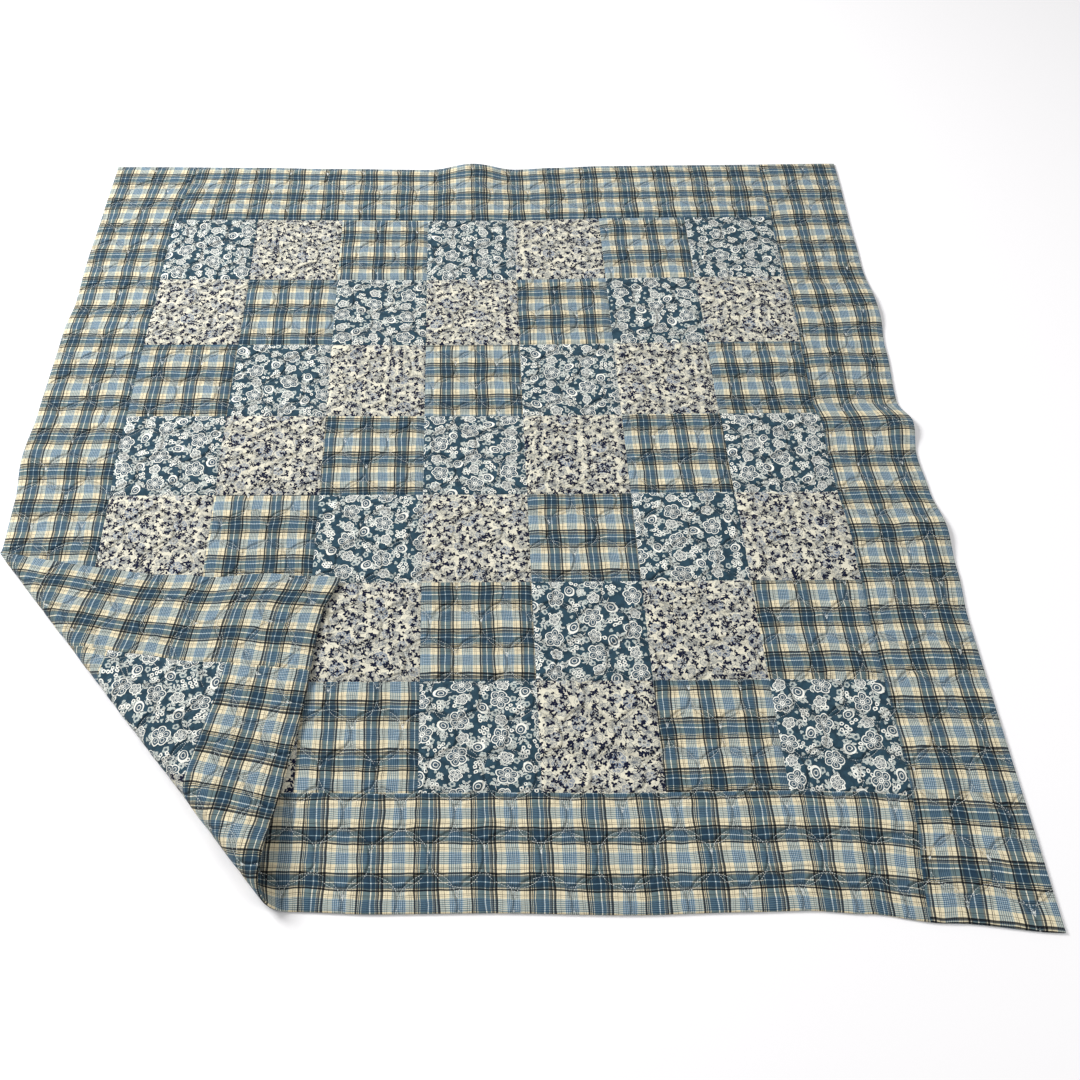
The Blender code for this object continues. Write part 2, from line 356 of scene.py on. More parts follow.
@dataclass(frozen=True)
class Sandwich:
    """Cross-section of the quilt: front, thin filling and reverse, drawn together at seams and hem."""

    front_cut: Cut = Cut()
    back_cut: Cut = Cut(low=(-0.904, -0.927), high=(0.904, 0.927))
    quilting: Quilting = Quilting()
    loft: float = 0.008
    seam: float = 0.0046
    hem: float = 0.005
    seam_shoulder: float = 0.009
    hem_shoulder: float = 0.012
    groove: float = 0.0020
    groove_width: float = 0.0062
    puff: float = 0.0008
    crumple: float = 0.0008
    fine_crumple: Crumple = Crumple(11, 0.034)
    broad_crumple: Crumple = Crumple(23, 0.085)
    fine_share: float = 0.6
    broad_share: float = 0.7
    calm_reach: float = 0.012
    back_groove: float = 0.0014
    back_line_share: float = 0.8
    back_crumple: Crumple = Crumple(37, 0.04)
    back_crumple_height: float = 0.0003
    back_most: float = 0.0024

    def base(self, u: np.ndarray, v: np.ndarray) -> np.ndarray:
        """Thickness without quilting or crumples, at flat places.

        Args:
            u: Places across.
            v: Places along.

        Returns:
            The thickness.
        """
        seam_share = 1 - np.exp(-self.front_cut.from_seam(u, v) / self.seam_shoulder)
        hem_share = 1 - np.exp(-np.maximum(self.front_cut.from_hem(u, v), 0) / self.hem_shoulder)
        seam_side = self.seam + (self.loft - self.seam) * seam_share
        return np.minimum(seam_side, self.hem + (self.loft - self.hem) * hem_share)

    def rounding(self, u: np.ndarray, v: np.ndarray) -> np.ndarray:
        """Share of the full thickness left by the round of the hem: 0 on its very edge.

        Args:
            u: Places across.
            v: Places along.

        Returns:
            The share.
        """
        radius = self.hem / 2
        inside = np.clip(self.front_cut.from_hem(u, v) / radius, 0, 1)
        return np.sqrt(np.clip(1 - (1 - inside) ** 2, 0, 1))

    def relief(self, u: np.ndarray, v: np.ndarray) -> np.ndarray:
        """How far quilting and crumples move the front up or down.

        Args:
            u: Places across.
            v: Places along.

        Returns:
            The move, up where it is over 0.
        """
        lines = self.quilting.from_line(u, v)
        dip = np.exp(-((lines / self.groove_width) ** 2))
        crumple = (self.fine_crumple.height(u, v) * self.fine_share
                   + self.broad_crumple.height(u, v) * self.broad_share)
        from_edge = np.minimum(self.front_cut.from_seam(u, v), self.front_cut.from_hem(u, v))
        calm = 1 - np.exp(-from_edge / self.calm_reach)
        return (self.puff - self.groove * dip + self.crumple * crumple) * np.clip(calm, 0, 1)

    def front(self, u: np.ndarray, v: np.ndarray) -> np.ndarray:
        """Height of the front over the underside's plane, at flat places.

        Args:
            u: Places across.
            v: Places along.

        Returns:
            The height.
        """
        full = self.base(u, v) + self.relief(u, v)
        middle = self.hem / 2
        return middle + (full - middle) * self.rounding(u, v)

    def back(self, u: np.ndarray, v: np.ndarray) -> np.ndarray:
        """Height of the reverse over the underside's plane, at flat places.

        Args:
            u: Places across.
            v: Places along.

        Returns:
            The height.
        """
        seams = np.exp(-self.back_cut.from_seam(u, v) / self.seam_shoulder)
        lines = np.exp(-((self.quilting.from_line(u, v) / self.groove_width) ** 2))
        crumple = np.maximum(self.back_crumple.height(u, v), -1) + 1
        drawn_in = self.back_groove * (seams + lines * self.back_line_share)
        inner = np.minimum(drawn_in + self.back_crumple_height * crumple, self.back_most)
        middle = self.hem / 2
        return middle + (inner - middle) * self.rounding(u, v)


@dataclass(frozen=True)
class Laying:
    """Takes a flat place on either face to its place in the room."""

    outline: Outline = Outline()
    rises: Rises = Rises()
    fold: Fold = Fold()
    sandwich: Sandwich = Sandwich()

    def points(self, face: Face, u: np.ndarray, v: np.ndarray) -> np.ndarray:
        """Points in the room of flat places on a face.

        Args:
            face: Front or back.
            u: Places across.
            v: Places along.

        Returns:
            The points, one more axis than u.
        """
        surface = self.sandwich.front if face is Face.FRONT else self.sandwich.back
        x, y = self.outline.plan(u, v)
        slack = self.fold.loft - self.sandwich.base(u, v)
        points = self.fold.turned(x, y, surface(u, v), slack)
        points[..., 2] += self.rises.height(u, v)
        return points


class Graph:
    """Adds nodes to one tree and joins them."""

    def __init__(self, tree: bpy.types.NodeTree) -> None:
        """Works on this tree."""
        self.tree = tree

    def add(self, kind: str, **settings: object) -> bpy.types.Node:
        """Adds a node.

        Args:
            kind: Blender's name of the node's type.
            settings: Values of the node's own properties.

        Returns:
            The node.
        """
        node = self.tree.nodes.new(kind)
        for name, value in settings.items():
            setattr(node, name, value)
        return node

    def feed(self, socket: bpy.types.NodeSocket, value: Value) -> None:
        """Links a socket to another, or sets its value.

        Args:
            socket: The input socket.
            value: Another socket, or a number, vector or colour.
        """
        if isinstance(value, bpy.types.NodeSocket):
            self.tree.links.new(value, socket)
        else:
            socket.default_value = value

    def math(self, operation: str, *values: Value) -> bpy.types.NodeSocket:
        """The result of a Math node on these values.

        Args:
            operation: Blender's name of the sum.
            values: Its inputs.

        Returns:
            The result.
        """
        node = self.add("ShaderNodeMath", operation=operation)
        for socket, value in zip(node.inputs, values):
            self.feed(socket, value)
        return node.outputs[0]

    def vector(self, operation: str, *values: Value) -> bpy.types.NodeSocket:
        """The vector result of a Vector Math node on these values.

        Args:
            operation: Blender's name of the sum.
            values: Its inputs.

        Returns:
            The result.
        """
        node = self.add("ShaderNodeVectorMath", operation=operation)
        for socket, value in zip(node.inputs, values):
            self.feed(socket, value)
        return node.outputs[0]

    def length(self, vector: Value) -> bpy.types.NodeSocket:
        """The length of a vector.

        Args:
            vector: The vector.

        Returns:
            Its length.
        """
        node = self.add("ShaderNodeVectorMath", operation="LENGTH")
        self.feed(node.inputs[0], vector)
        return node.outputs["Value"]

    def scaled(self, vector: Value, factor: Value) -> bpy.types.NodeSocket:
        """The vector times a number.

        Args:
            vector: The vector.
            factor: The number.

        Returns:
            The scaled vector.
        """
        node = self.add("ShaderNodeVectorMath", operation="SCALE")
        self.feed(node.inputs[0], vector)
        self.feed(node.inputs["Scale"], factor)
        return node.outputs[0]

    def combined(self, x: Value, y: Value, z: Value = 0.0) -> bpy.types.NodeSocket:
        """A vector of three numbers.

        Args:
            x: First number.
            y: Second number.
            z: Third number.

        Returns:
            The vector.
        """
        node = self.add("ShaderNodeCombineXYZ")
        for socket, value in zip(node.inputs, (x, y, z)):
            self.feed(socket, value)
        return node.outputs[0]

    def parts(self, vector: Value) -> tuple:
        """The three numbers of a vector.

        Args:
            vector: The vector.

        Returns:
            Its x, y and z.
        """
        node = self.add("ShaderNodeSeparateXYZ")
        self.feed(node.inputs[0], vector)
        return tuple(node.outputs)

    def mix(self, share: Value, under: Value, over: Value, blend: str = "MIX") -> bpy.types.NodeSocket:
        """A colour between two, by share.

        Args:
            share: 0 for the first colour, 1 for the second.
            under: The first colour.
            over: The second colour.
            blend: Blender's name of the way to mix.

        Returns:
            The mixed colour.
        """
        node = self.add("ShaderNodeMix", data_type="RGBA", blend_type=blend)
        sockets = [socket for socket in node.inputs if socket.enabled]
        for socket, value in zip(sockets, (share, under, over)):
            self.feed(socket, value)
        return next(socket for socket in node.outputs if socket.enabled)

    def ramp(self, share: Value, low: Value, high: Value) -> bpy.types.NodeSocket:
        """0 where share is at low, 1 where it is at high, smooth between.

        Args:
            share: What is looked at.
            low: Where the result is 0.
            high: Where the result is 1.

        Returns:
            The result.
        """
        node = self.add("ShaderNodeMapRange", interpolation_type="SMOOTHSTEP")
        for name, value in (("Value", share), ("From Min", low), ("From Max", high)):
            self.feed(node.inputs[name], value)
        return node.outputs[0]

    def noise(self, place: Value, scale: float, detail: float = 2.0) -> bpy.types.NodeSocket:
        """Smooth noise from 0 to 1 at a place.

        Args:
            place: The place.
            scale: How many waves fit in a metre.
            detail: Its finer layers.

        Returns:
            The noise.
        """
        node = self.add("ShaderNodeTexNoise")
        self.feed(node.inputs["Vector"], place)
        node.inputs["Scale"].default_value = scale
        node.inputs["Detail"].default_value = detail
        return node.outputs[0]

    def use(self, group: bpy.types.NodeTree, **values: Value) -> bpy.types.Node:
        """Places a node group, with underscores for the spaces in its inputs' names.

        Args:
            group: The group's tree.
            values: Its inputs.

        Returns:
            The group's node.
        """
        node = self.add("ShaderNodeGroup", node_tree=group)
        for name, value in values.items():
            self.feed(node.inputs[name.replace("_", " ")], value)
        return node


def new_group(name: str, inputs: dict[str, Value], outputs: dict[str, str]) -> tuple:
    """Starts a shader node group.

    Args:
        name: The group's name.
        inputs: Each input's name and first value: a number, or a tuple for a vector.
        outputs: Each output's name and its socket's type, Float, Vector or Color.

    Returns:
        The group's tree, its Graph, its inputs' sockets and its output node's inputs.
    """
    tree = bpy.data.node_groups.new(name, "ShaderNodeTree")
    for title, value in inputs.items():
        kind = "NodeSocketFloat" if isinstance(value, float) else "NodeSocketVector"
        socket = tree.interface.new_socket(title, in_out="INPUT", socket_type=kind)
        socket.default_value = value
    for title, kind in outputs.items():
        tree.interface.new_socket(title, in_out="OUTPUT", socket_type="NodeSocket" + kind)
    graph = Graph(tree)
    return tree, graph, graph.add("NodeGroupInput").outputs, graph.add("NodeGroupOutput").inputs


@functools.cache
def scatter_group() -> bpy.types.NodeTree:
    """Sets one motif in each cell of a half-drop layout: its turned local place, middle and chance.

    Returns:
        The group's tree.
    """
    tree, graph, given, result = new_group(
        "scattered motif",
        {"Place": (0.0, 0.0, 0.0), "Cell": 0.05, "Jitter": 0.3, "Seed": 0.0, "Shift": (0.0, 0.0, 0.0)},
        {"Local": "Vector", "Middle": "Vector", "Chance": "Float"})
    half = 0.5
    place = graph.scaled(given["Place"], graph.math("DIVIDE", 1.0, given["Cell"]))
    x, y, _ = graph.parts(graph.vector("ADD", place, given["Shift"]))
    column = graph.math("FLOOR", x)
    drop = graph.math("MULTIPLY", graph.math("FLOORED_MODULO", column, 2.0), half)
    dropped = graph.math("ADD", y, drop)
    cell = graph.combined(column, graph.math("FLOOR", dropped), given["Seed"])
    chance = graph.add("ShaderNodeTexWhiteNoise", noise_dimensions="3D")
    graph.feed(chance.inputs["Vector"], cell)
    shift_x, shift_y, turn = graph.parts(chance.outputs["Color"])
    middle_x = graph.math("MULTIPLY_ADD", graph.math("SUBTRACT", shift_x, half), given["Jitter"], half)
    middle_y = graph.math("MULTIPLY_ADD", graph.math("SUBTRACT", shift_y, half), given["Jitter"], half)
    from_middle = graph.combined(graph.math("SUBTRACT", graph.math("FRACT", x), middle_x),
                                 graph.math("SUBTRACT", graph.math("FRACT", dropped), middle_y))
    local = graph.scaled(from_middle, given["Cell"])
    turned = graph.add("ShaderNodeVectorRotate", rotation_type="Z_AXIS")
    graph.feed(turned.inputs["Vector"], local)
    graph.feed(turned.inputs["Angle"], graph.math("MULTIPLY", turn, math.tau))
    graph.feed(result["Local"], turned.outputs[0])
    graph.feed(result["Middle"], graph.vector("SUBTRACT", given["Place"], local))
    graph.feed(result["Chance"], chance.outputs["Value"])
    return tree


@functools.cache
def drawn_group() -> bpy.types.NodeTree:
    """Moves places a little, so that drawn motifs are uneven in shape and spacing.

    Returns:
        The group's tree.
    """
    tree, graph, given, result = new_group(
        "hand drawn", {"Place": (0.0, 0.0, 0.0), "Broad": 0.02, "Fine": 0.003}, {"Place": "Vector"})
    place = given["Place"]
    for scale, title in ((7.0, "Broad"), (85.0, "Fine")):
        noise = graph.add("ShaderNodeTexNoise")
        graph.feed(noise.inputs["Vector"], given["Place"])
        noise.inputs["Scale"].default_value = scale
        noise.inputs["Detail"].default_value = 1.0
        off = graph.vector("SUBTRACT", noise.outputs["Color"], (0.5, 0.5, 0.5))
        place = graph.vector("ADD", place, graph.scaled(off, given[title]))
    graph.feed(result["Place"], graph.vector("MULTIPLY", place, (1.0, 1.0, 0.0)))
    return tree


@functools.cache
def flower_group() -> bpy.types.NodeTree:
    """An open flower of round petals seen from above: drawn lines, body and heart.

    Returns:
        The group's tree.
    """
    tree, graph, given, result = new_group(
        "open flower", {"Local": (0.0, 0.0, 0.0), "Radius": 0.02, "Petals": 5.0, "Line": 0.001},
        {"Line": "Float", "Body": "Float", "Heart": "Float"})
    petal_at, petal_size, middle_size, heart_size, seed_at = 0.57, 0.43, 0.50, 0.26, 0.12
    vein_at, vein_squash = 0.22, 1.3
    split_line, vein_line, seed_line = 0.6, 0.55, 0.7
    radius, line = given["Radius"], given["Line"]
    x, y, _ = graph.parts(given["Local"])
    far = graph.length(given["Local"])
    sector = graph.math("DIVIDE", math.tau, given["Petals"])
    half = graph.math("MULTIPLY", sector, 0.5)
    turn = graph.math("SUBTRACT", graph.math("FLOORED_MODULO", graph.math("ARCTAN2", y, x), sector), half)
    petal_x = graph.math("SUBTRACT", graph.math("MULTIPLY", far, graph.math("COSINE", turn)),
                         graph.math("MULTIPLY", radius, petal_at))
    petal_y = graph.math("MULTIPLY", far, graph.math("SINE", turn))
    from_petal = graph.length(graph.combined(petal_x, petal_y))
    rim = graph.math("SUBTRACT", from_petal, graph.math("MULTIPLY", radius, petal_size))
    middle = graph.math("LESS_THAN", far, graph.math("MULTIPLY", radius, middle_size))
    body = graph.math("MAXIMUM", graph.math("LESS_THAN", rim, 0.0), middle)
    outer = graph.math("MULTIPLY", graph.math("LESS_THAN", graph.math("ABSOLUTE", rim), line),
                       graph.math("SUBTRACT", 1.0, middle))
    from_side = graph.math("SUBTRACT", half, graph.math("ABSOLUTE", turn))
    gap = graph.math("MULTIPLY", far, graph.math("SINE", from_side))
    split = graph.math("LESS_THAN", gap, graph.math("MULTIPLY", line, split_line))
    split = graph.math("MULTIPLY", split, body)
    vein = graph.length(graph.combined(petal_x, graph.math("MULTIPLY", petal_y, vein_squash)))
    vein = graph.math("ABSOLUTE", graph.math("SUBTRACT", vein, graph.math("MULTIPLY", radius, vein_at)))
    vein = graph.math("LESS_THAN", vein, graph.math("MULTIPLY", line, vein_line))
    heart = graph.math("LESS_THAN", far, graph.math("MULTIPLY", radius, heart_size))
    drawn = graph.math("MAXIMUM", outer, graph.math("MAXIMUM", split, vein))
    seed = graph.math("ABSOLUTE", graph.math("SUBTRACT", far, graph.math("MULTIPLY", radius, seed_at)))
    graph.feed(result["Line"], graph.math("MAXIMUM", drawn, heart))
    graph.feed(result["Body"], body)
    graph.feed(result["Heart"], graph.math("LESS_THAN", seed, graph.math("MULTIPLY", line, seed_line)))
    return tree


@functools.cache
def rose_group() -> bpy.types.NodeTree:
    """A closed rose drawn as a thick uneven oval with a curl inside.

    Returns:
        The group's tree.
    """
    tree, graph, given, result = new_group(
        "closed rose",
        {"Local": (0.0, 0.0, 0.0), "Radius": 0.018, "Squeeze": 0.7, "Line": 0.001},
        {"Line": "Float", "Body": "Float", "Heart": "Float"})
    hollow_at, hollow_size, curl_size, heart_size, curl_line = 0.15, 0.76, 0.40, 0.17, 0.7
    radius, line = given["Radius"], given["Line"]
    stretch = graph.combined(1.0, graph.math("DIVIDE", 1.0, given["Squeeze"]))
    round_place = graph.vector("MULTIPLY", given["Local"], stretch)
    far = graph.length(round_place)
    off = graph.combined(graph.math("MULTIPLY", radius, hollow_at), 0.0)
    inner = graph.length(graph.vector("SUBTRACT", round_place, off))
    body = graph.math("LESS_THAN", far, radius)
    hollow = graph.math("LESS_THAN", inner, graph.math("MULTIPLY", radius, hollow_size))
    thick = graph.math("MULTIPLY", body, graph.math("SUBTRACT", 1.0, hollow))
    curl = graph.math("ABSOLUTE", graph.math("SUBTRACT", inner, graph.math("MULTIPLY", radius, curl_size)))
    curl = graph.math("LESS_THAN", curl, graph.math("MULTIPLY", line, curl_line))
    graph.feed(result["Line"], graph.math("MAXIMUM", thick, curl))
    graph.feed(result["Body"], body)
    heart = graph.math("LESS_THAN", inner, graph.math("MULTIPLY", radius, heart_size))
    graph.feed(result["Heart"], heart)
    return tree


@functools.cache
def lobed_group() -> bpy.types.NodeTree:
    """A flat lobed shape, from a star to a dart, with unlike lobes where it leans.

    Returns:
        The group's tree.
    """
    tree, graph, given, result = new_group(
        "lobed shape",
        {"Local": (0.0, 0.0, 0.0), "Radius": 0.005, "Lobes": 5.0, "Notch": 0.5, "Slim": 1.0, "Lean": 0.0},
        {"Body": "Float", "Heart": "Float"})
    heart_size = 0.42
    lean = graph.combined(graph.math("MULTIPLY", given["Radius"], given["Lean"]), 0.0)
    leaning = graph.vector("ADD", given["Local"], lean)
    x, y, _ = graph.parts(leaning)
    far = graph.length(leaning)
    half_lobes = graph.math("MULTIPLY", given["Lobes"], 0.5)
    angle = graph.math("MULTIPLY", graph.math("ARCTAN2", y, x), half_lobes)
    lobe = graph.math("POWER", graph.math("ABSOLUTE", graph.math("COSINE", angle)), given["Slim"])
    share = graph.math("ADD", graph.math("SUBTRACT", 1.0, given["Notch"]),
                       graph.math("MULTIPLY", given["Notch"], lobe))
    rim = graph.math("MULTIPLY", given["Radius"], share)
    graph.feed(result["Body"], graph.math("LESS_THAN", far, rim))
    heart = graph.math("LESS_THAN", far, graph.math("MULTIPLY", given["Radius"], heart_size))
    graph.feed(result["Heart"], heart)
    return tree


@functools.cache
def sprig_group() -> bpy.types.NodeTree:
    """Pairs of leaves along a short bent stem.

    Returns:
        The group's tree.
    """
    tree, graph, given, result = new_group(
        "leafy sprig",
        {"Local": (0.0, 0.0, 0.0), "Length": 0.03, "Pitch": 0.008, "Leaf": 0.007, "Slim": 0.4,
         "Line": 0.0007},
        {"Line": "Float", "Body": "Float"})
    stem_bend, leaf_slant, widest_at, leaf_taper, stem_line = 14.0, 0.7, 0.58, 4.5, 0.6
    x, y, _ = graph.parts(given["Local"])
    bend = graph.math("MULTIPLY", graph.math("MULTIPLY", x, x), stem_bend)
    side = graph.math("ABSOLUTE", graph.math("ADD", y, bend))
    half = graph.math("MULTIPLY", given["Length"], 0.5)
    slant = graph.math("SUBTRACT", x, graph.math("MULTIPLY", side, leaf_slant))
    count = graph.math("ADD", graph.math("FLOOR", graph.math("DIVIDE", slant, given["Pitch"])), 0.5)
    leaf_at = graph.math("MULTIPLY", count, given["Pitch"])
    on_stem = graph.math("LESS_THAN", graph.math("ABSOLUTE", leaf_at), half)
    step = graph.math("SUBTRACT", slant, leaf_at)
    reach = graph.math("SUBTRACT", graph.math("DIVIDE", side, given["Leaf"]), widest_at)
    taper = graph.math("MULTIPLY", graph.math("MULTIPLY", reach, reach), leaf_taper)
    width = graph.math("MULTIPLY", graph.math("SUBTRACT", 1.0, taper),
                       graph.math("MULTIPLY", given["Leaf"], given["Slim"]))
    gap = graph.math("SUBTRACT", graph.math("ABSOLUTE", step), width)
    body = graph.math("MULTIPLY", graph.math("LESS_THAN", gap, 0.0), on_stem)
    edge = graph.math("GREATER_THAN", gap, graph.math("MULTIPLY", given["Line"], -1.0))
    edge = graph.math("MULTIPLY", edge, body)
    stem = graph.math("LESS_THAN", side, graph.math("MULTIPLY", given["Line"], stem_line))
    stem = graph.math("MULTIPLY", stem, graph.math("LESS_THAN", graph.math("ABSOLUTE", x), half))
    graph.feed(result["Line"], graph.math("MAXIMUM", edge, stem))
    graph.feed(result["Body"], body)
    return tree


@functools.cache
def quilting_group() -> bpy.types.NodeTree:
    """Distance to the stitched circles and the pale stitches on them, from drawn places.

    Returns:
        The group's tree.
    """
    tree, graph, given, result = new_group(
        "quilted circles",
        {"Drawn": (0.0, 0.0, 0.0), "Radius": Quilting.radius, "Pitch": Quilting.pitch,
         "Row Pitch": Quilting.row_pitch, "At U": Quilting.at_u, "At V": Quilting.at_v,
         "Stitch": 0.0052, "Thread": 0.00045, "Knot": 0.0027},
        {"Distance": "Float", "Stitches": "Float"})
    dash_share, knot_above, knot_squash, speckle = 0.6, 0.018, 0.4, 330.0
    u, v, _ = graph.parts(given["Drawn"])
    from_start = graph.math("SUBTRACT", v, given["At V"])
    first = graph.math("FLOOR", graph.math("DIVIDE", from_start, given["Row Pitch"]))
    half = graph.math("MULTIPLY", given["Pitch"], 0.5)
    gaps, marks = [], []
    crossed = graph.math("GREATER_THAN", graph.noise(given["Drawn"], speckle, 1.0), 0.5)
    for ahead in (0.0, 1.0):
        row = graph.math("ADD", first, ahead)
        shift = graph.math("MULTIPLY", graph.math("FLOORED_MODULO", row, 2.0), half)
        start = graph.math("SUBTRACT", graph.math("ADD", given["At U"], shift), half)
        from_circle = graph.math("FLOORED_MODULO", graph.math("SUBTRACT", u, start), given["Pitch"])
        across = graph.math("SUBTRACT", from_circle, half)
        along = graph.math("SUBTRACT", from_start, graph.math("MULTIPLY", row, given["Row Pitch"]))
        far = graph.length(graph.combined(across, along))
        gap = graph.math("ABSOLUTE", graph.math("SUBTRACT", far, given["Radius"]))
        run = graph.math("MULTIPLY", graph.math("ARCTAN2", along, across), given["Radius"])
        beat = graph.math("FLOORED_MODULO", run, given["Stitch"])
        dash = graph.math("LESS_THAN", beat, graph.math("MULTIPLY", given["Stitch"], dash_share))
        gaps.append(gap)
        marks.append(graph.math("MULTIPLY", dash, graph.math("LESS_THAN", gap, given["Thread"])))
        beside = graph.math("SUBTRACT", half, graph.math("ABSOLUTE", across))
        above = graph.math("MULTIPLY", graph.math("SUBTRACT", along, knot_above), knot_squash)
        touching = graph.length(graph.combined(beside, above))
        marks.append(graph.math("MULTIPLY", graph.math("LESS_THAN", touching, given["Knot"]), crossed))
    graph.feed(result["Distance"], graph.math("MINIMUM", *gaps))
    graph.feed(result["Stitches"], functools.reduce(functools.partial(graph.math, "MAXIMUM"), marks))
    return tree


@functools.cache
def weave_group() -> bpy.types.NodeTree:
    """Plain weave: slubby threads both ways, as a height and as a tone around 1.

    Returns:
        The group's tree.
    """
    tree, graph, given, result = new_group(
        "plain weave", {"Place": (0.0, 0.0, 0.0), "Thread": 0.0011}, {"Height": "Float", "Tone": "Float"})
    thread_scale, slub_scale, basket_height, slub_tone = 900.0, 70.0, 0.35, 0.30
    x, y, _ = graph.parts(given["Place"])
    turn = graph.math("DIVIDE", math.tau, given["Thread"])
    warp = graph.math("SINE", graph.math("MULTIPLY", x, turn))
    weft = graph.math("SINE", graph.math("MULTIPLY", y, turn))
    basket = graph.math("MULTIPLY", warp, weft)
    along_warp = graph.vector("MULTIPLY", given["Place"], (thread_scale, slub_scale, 1.0))
    along_weft = graph.vector("MULTIPLY", given["Place"], (slub_scale, thread_scale, 1.0))
    slubs = graph.math("ADD", graph.noise(along_warp, 1.0, 1.0), graph.noise(along_weft, 1.0, 1.0))
    slub = graph.math("SUBTRACT", slubs, 1.0)
    graph.feed(result["Height"], graph.math("MULTIPLY_ADD", basket, basket_height, slub))
    graph.feed(result["Tone"], graph.math("MULTIPLY_ADD", slub, slub_tone, 1.0))
    return tree


@functools.cache
def fading_and_ditch_shade_group() -> bpy.types.NodeTree:
    """Washed-in fading: broad and fine uneven tone around 1, plus painted shade that darkens the stitched
    lines.

    Returns:
        The group's tree.
    """
    tree, graph, given, result = new_group(
        "washed fading and painted ditch shade", {"Place": (0.0, 0.0, 0.0), "Distance": 0.02, "Depth": 0.22}, {"Tone": "Float"})
    broad_share, fine_share, ditch_reach = 0.18, 0.20, 0.008
    broad = graph.math("SUBTRACT", graph.noise(given["Place"], 3.0, 3.0), 0.5)
    fine = graph.math("SUBTRACT", graph.noise(given["Place"], 38.0, 3.0), 0.5)
    # painted shade: the colour darkens towards the stitched lines, in place of the shadow in the quilted
    # grooves
    ditch = graph.math("SUBTRACT", 1.0, graph.ramp(given["Distance"], 0.0, ditch_reach))
    tone = graph.math("MULTIPLY_ADD", broad, broad_share, 1.0)
    tone = graph.math("MULTIPLY_ADD", fine, fine_share, tone)
    tone = graph.math("SUBTRACT", tone, graph.math("MULTIPLY", ditch, given["Depth"]))
    graph.feed(result["Tone"], tone)
    return tree


@dataclass(frozen=True)
class Yarns:
    """Dyed yarn colours of the plaid."""

    steel: Colour = dyed(28, 51, 68)
    navy: Colour = dyed(34, 59, 77)
    sky: Colour = dyed(99, 129, 151)
    pale_sky: Colour = dyed(208, 214, 214)
    cream: Colour = dyed(222, 210, 178)
    taupe: Colour = dyed(48, 54, 58)
    black: Colour = dyed(7, 9, 11)
    brown: Colour = dyed(44, 40, 36)
    grey: Colour = dyed(66, 70, 72)
    white: Colour = dyed(224, 226, 220)


@dataclass(frozen=True)
class ClothFinish:
    """What every cloth of the quilt shares: matt cotton, quilted and washed."""

    name: str
    roughness: float = 0.92
    uneven_roughness: float = 0.06
    sheen: float = 0.05
    sheen_roughness: float = 0.5
    gloss: float = 0.15
    weave_height: float = 0.00018
    ditch_height: float = 0.0034
    ditch_reach: float = 0.007
    pucker_height: float = 0.0045
    pucker_scale: float = 95.0
    pucker_reach: tuple[float, float] = (0.003, 0.020)
    thread: Colour = dyed(226, 230, 226)
    thread_height: float = 0.0006
    thread_share: float = 0.8
    wear_scale: float = 55.0
    wear_range: tuple[float, float] = (0.35, 0.55)
    bump_strength: float = 0.7

    def colour(self, graph: Graph, place: bpy.types.NodeSocket) -> bpy.types.NodeSocket:
        """The cloth's own dyed colour at a cloth place."""
        raise NotImplementedError

    def material(self) -> bpy.types.Material:
        """Builds the material from the cloth's colour, weave, fading, painted shade in the stitched lines
        and stitches.

        Returns:
            The material.
        """
        material = bpy.data.materials.new(self.name)
        material.use_nodes = True
        graph = Graph(material.node_tree)
        shader = material.node_tree.nodes["Principled BSDF"]
        place = graph.add("ShaderNodeUVMap", uv_map="cloth").outputs[0]
        drawn = graph.add("ShaderNodeUVMap", uv_map="quilted").outputs[0]
        quilting = graph.use(quilting_group(), Drawn=drawn)
        distance = quilting.outputs["Distance"]
        weave = graph.use(weave_group(), Place=place)
        fading_and_shade = graph.use(fading_and_ditch_shade_group(), Place=drawn, Distance=distance)
        # the tone is weave slubs times washed fading, with painted shade darkening the stitched lines
        tone = graph.math("MULTIPLY", weave.outputs["Tone"], fading_and_shade.outputs["Tone"])
        colour = graph.vector("MULTIPLY", self.colour(graph, place), graph.combined(tone, tone, tone))
        worn = graph.ramp(graph.noise(drawn, self.wear_scale, 1.0), *self.wear_range)
        left = graph.math("MULTIPLY", worn, self.thread_share)
        stitches = graph.math("MULTIPLY", quilting.outputs["Stitches"], left)
        graph.feed(shader.inputs["Base Color"], graph.mix(stitches, colour, self.thread))
        ditch = graph.ramp(distance, 0.0, self.ditch_reach)
        height = graph.math("MULTIPLY_ADD", ditch, self.ditch_height,
                            graph.math("MULTIPLY", weave.outputs["Height"], self.weave_height))
        height = graph.math("MULTIPLY_ADD", stitches, self.thread_height, height)
        drawn_in = graph.math("SUBTRACT", 1.0, graph.ramp(distance, *self.pucker_reach))
        pucker = graph.math("MULTIPLY", graph.noise(drawn, self.pucker_scale, 2.0), drawn_in)
        height = graph.math("MULTIPLY_ADD", pucker, self.pucker_height, height)
        bump = graph.add("ShaderNodeBump")
        bump.inputs["Strength"].default_value = self.bump_strength
        bump.inputs["Distance"].default_value = 1.0
        graph.feed(bump.inputs["Height"], height)
        graph.feed(shader.inputs["Normal"], bump.outputs[0])
        rough = graph.math("MULTIPLY_ADD", weave.outputs["Height"], self.uneven_roughness, self.roughness)
        graph.feed(shader.inputs["Roughness"], rough)
        shader.inputs["Sheen Weight"].default_value = self.sheen
        shader.inputs["Sheen Roughness"].default_value = self.sheen_roughness
        shader.inputs["Specular IOR Level"].default_value = self.gloss
        return material


PINSTRIPED = (("sky", 1.5), ("steel", 1.1), ("pale_sky", 1.1))


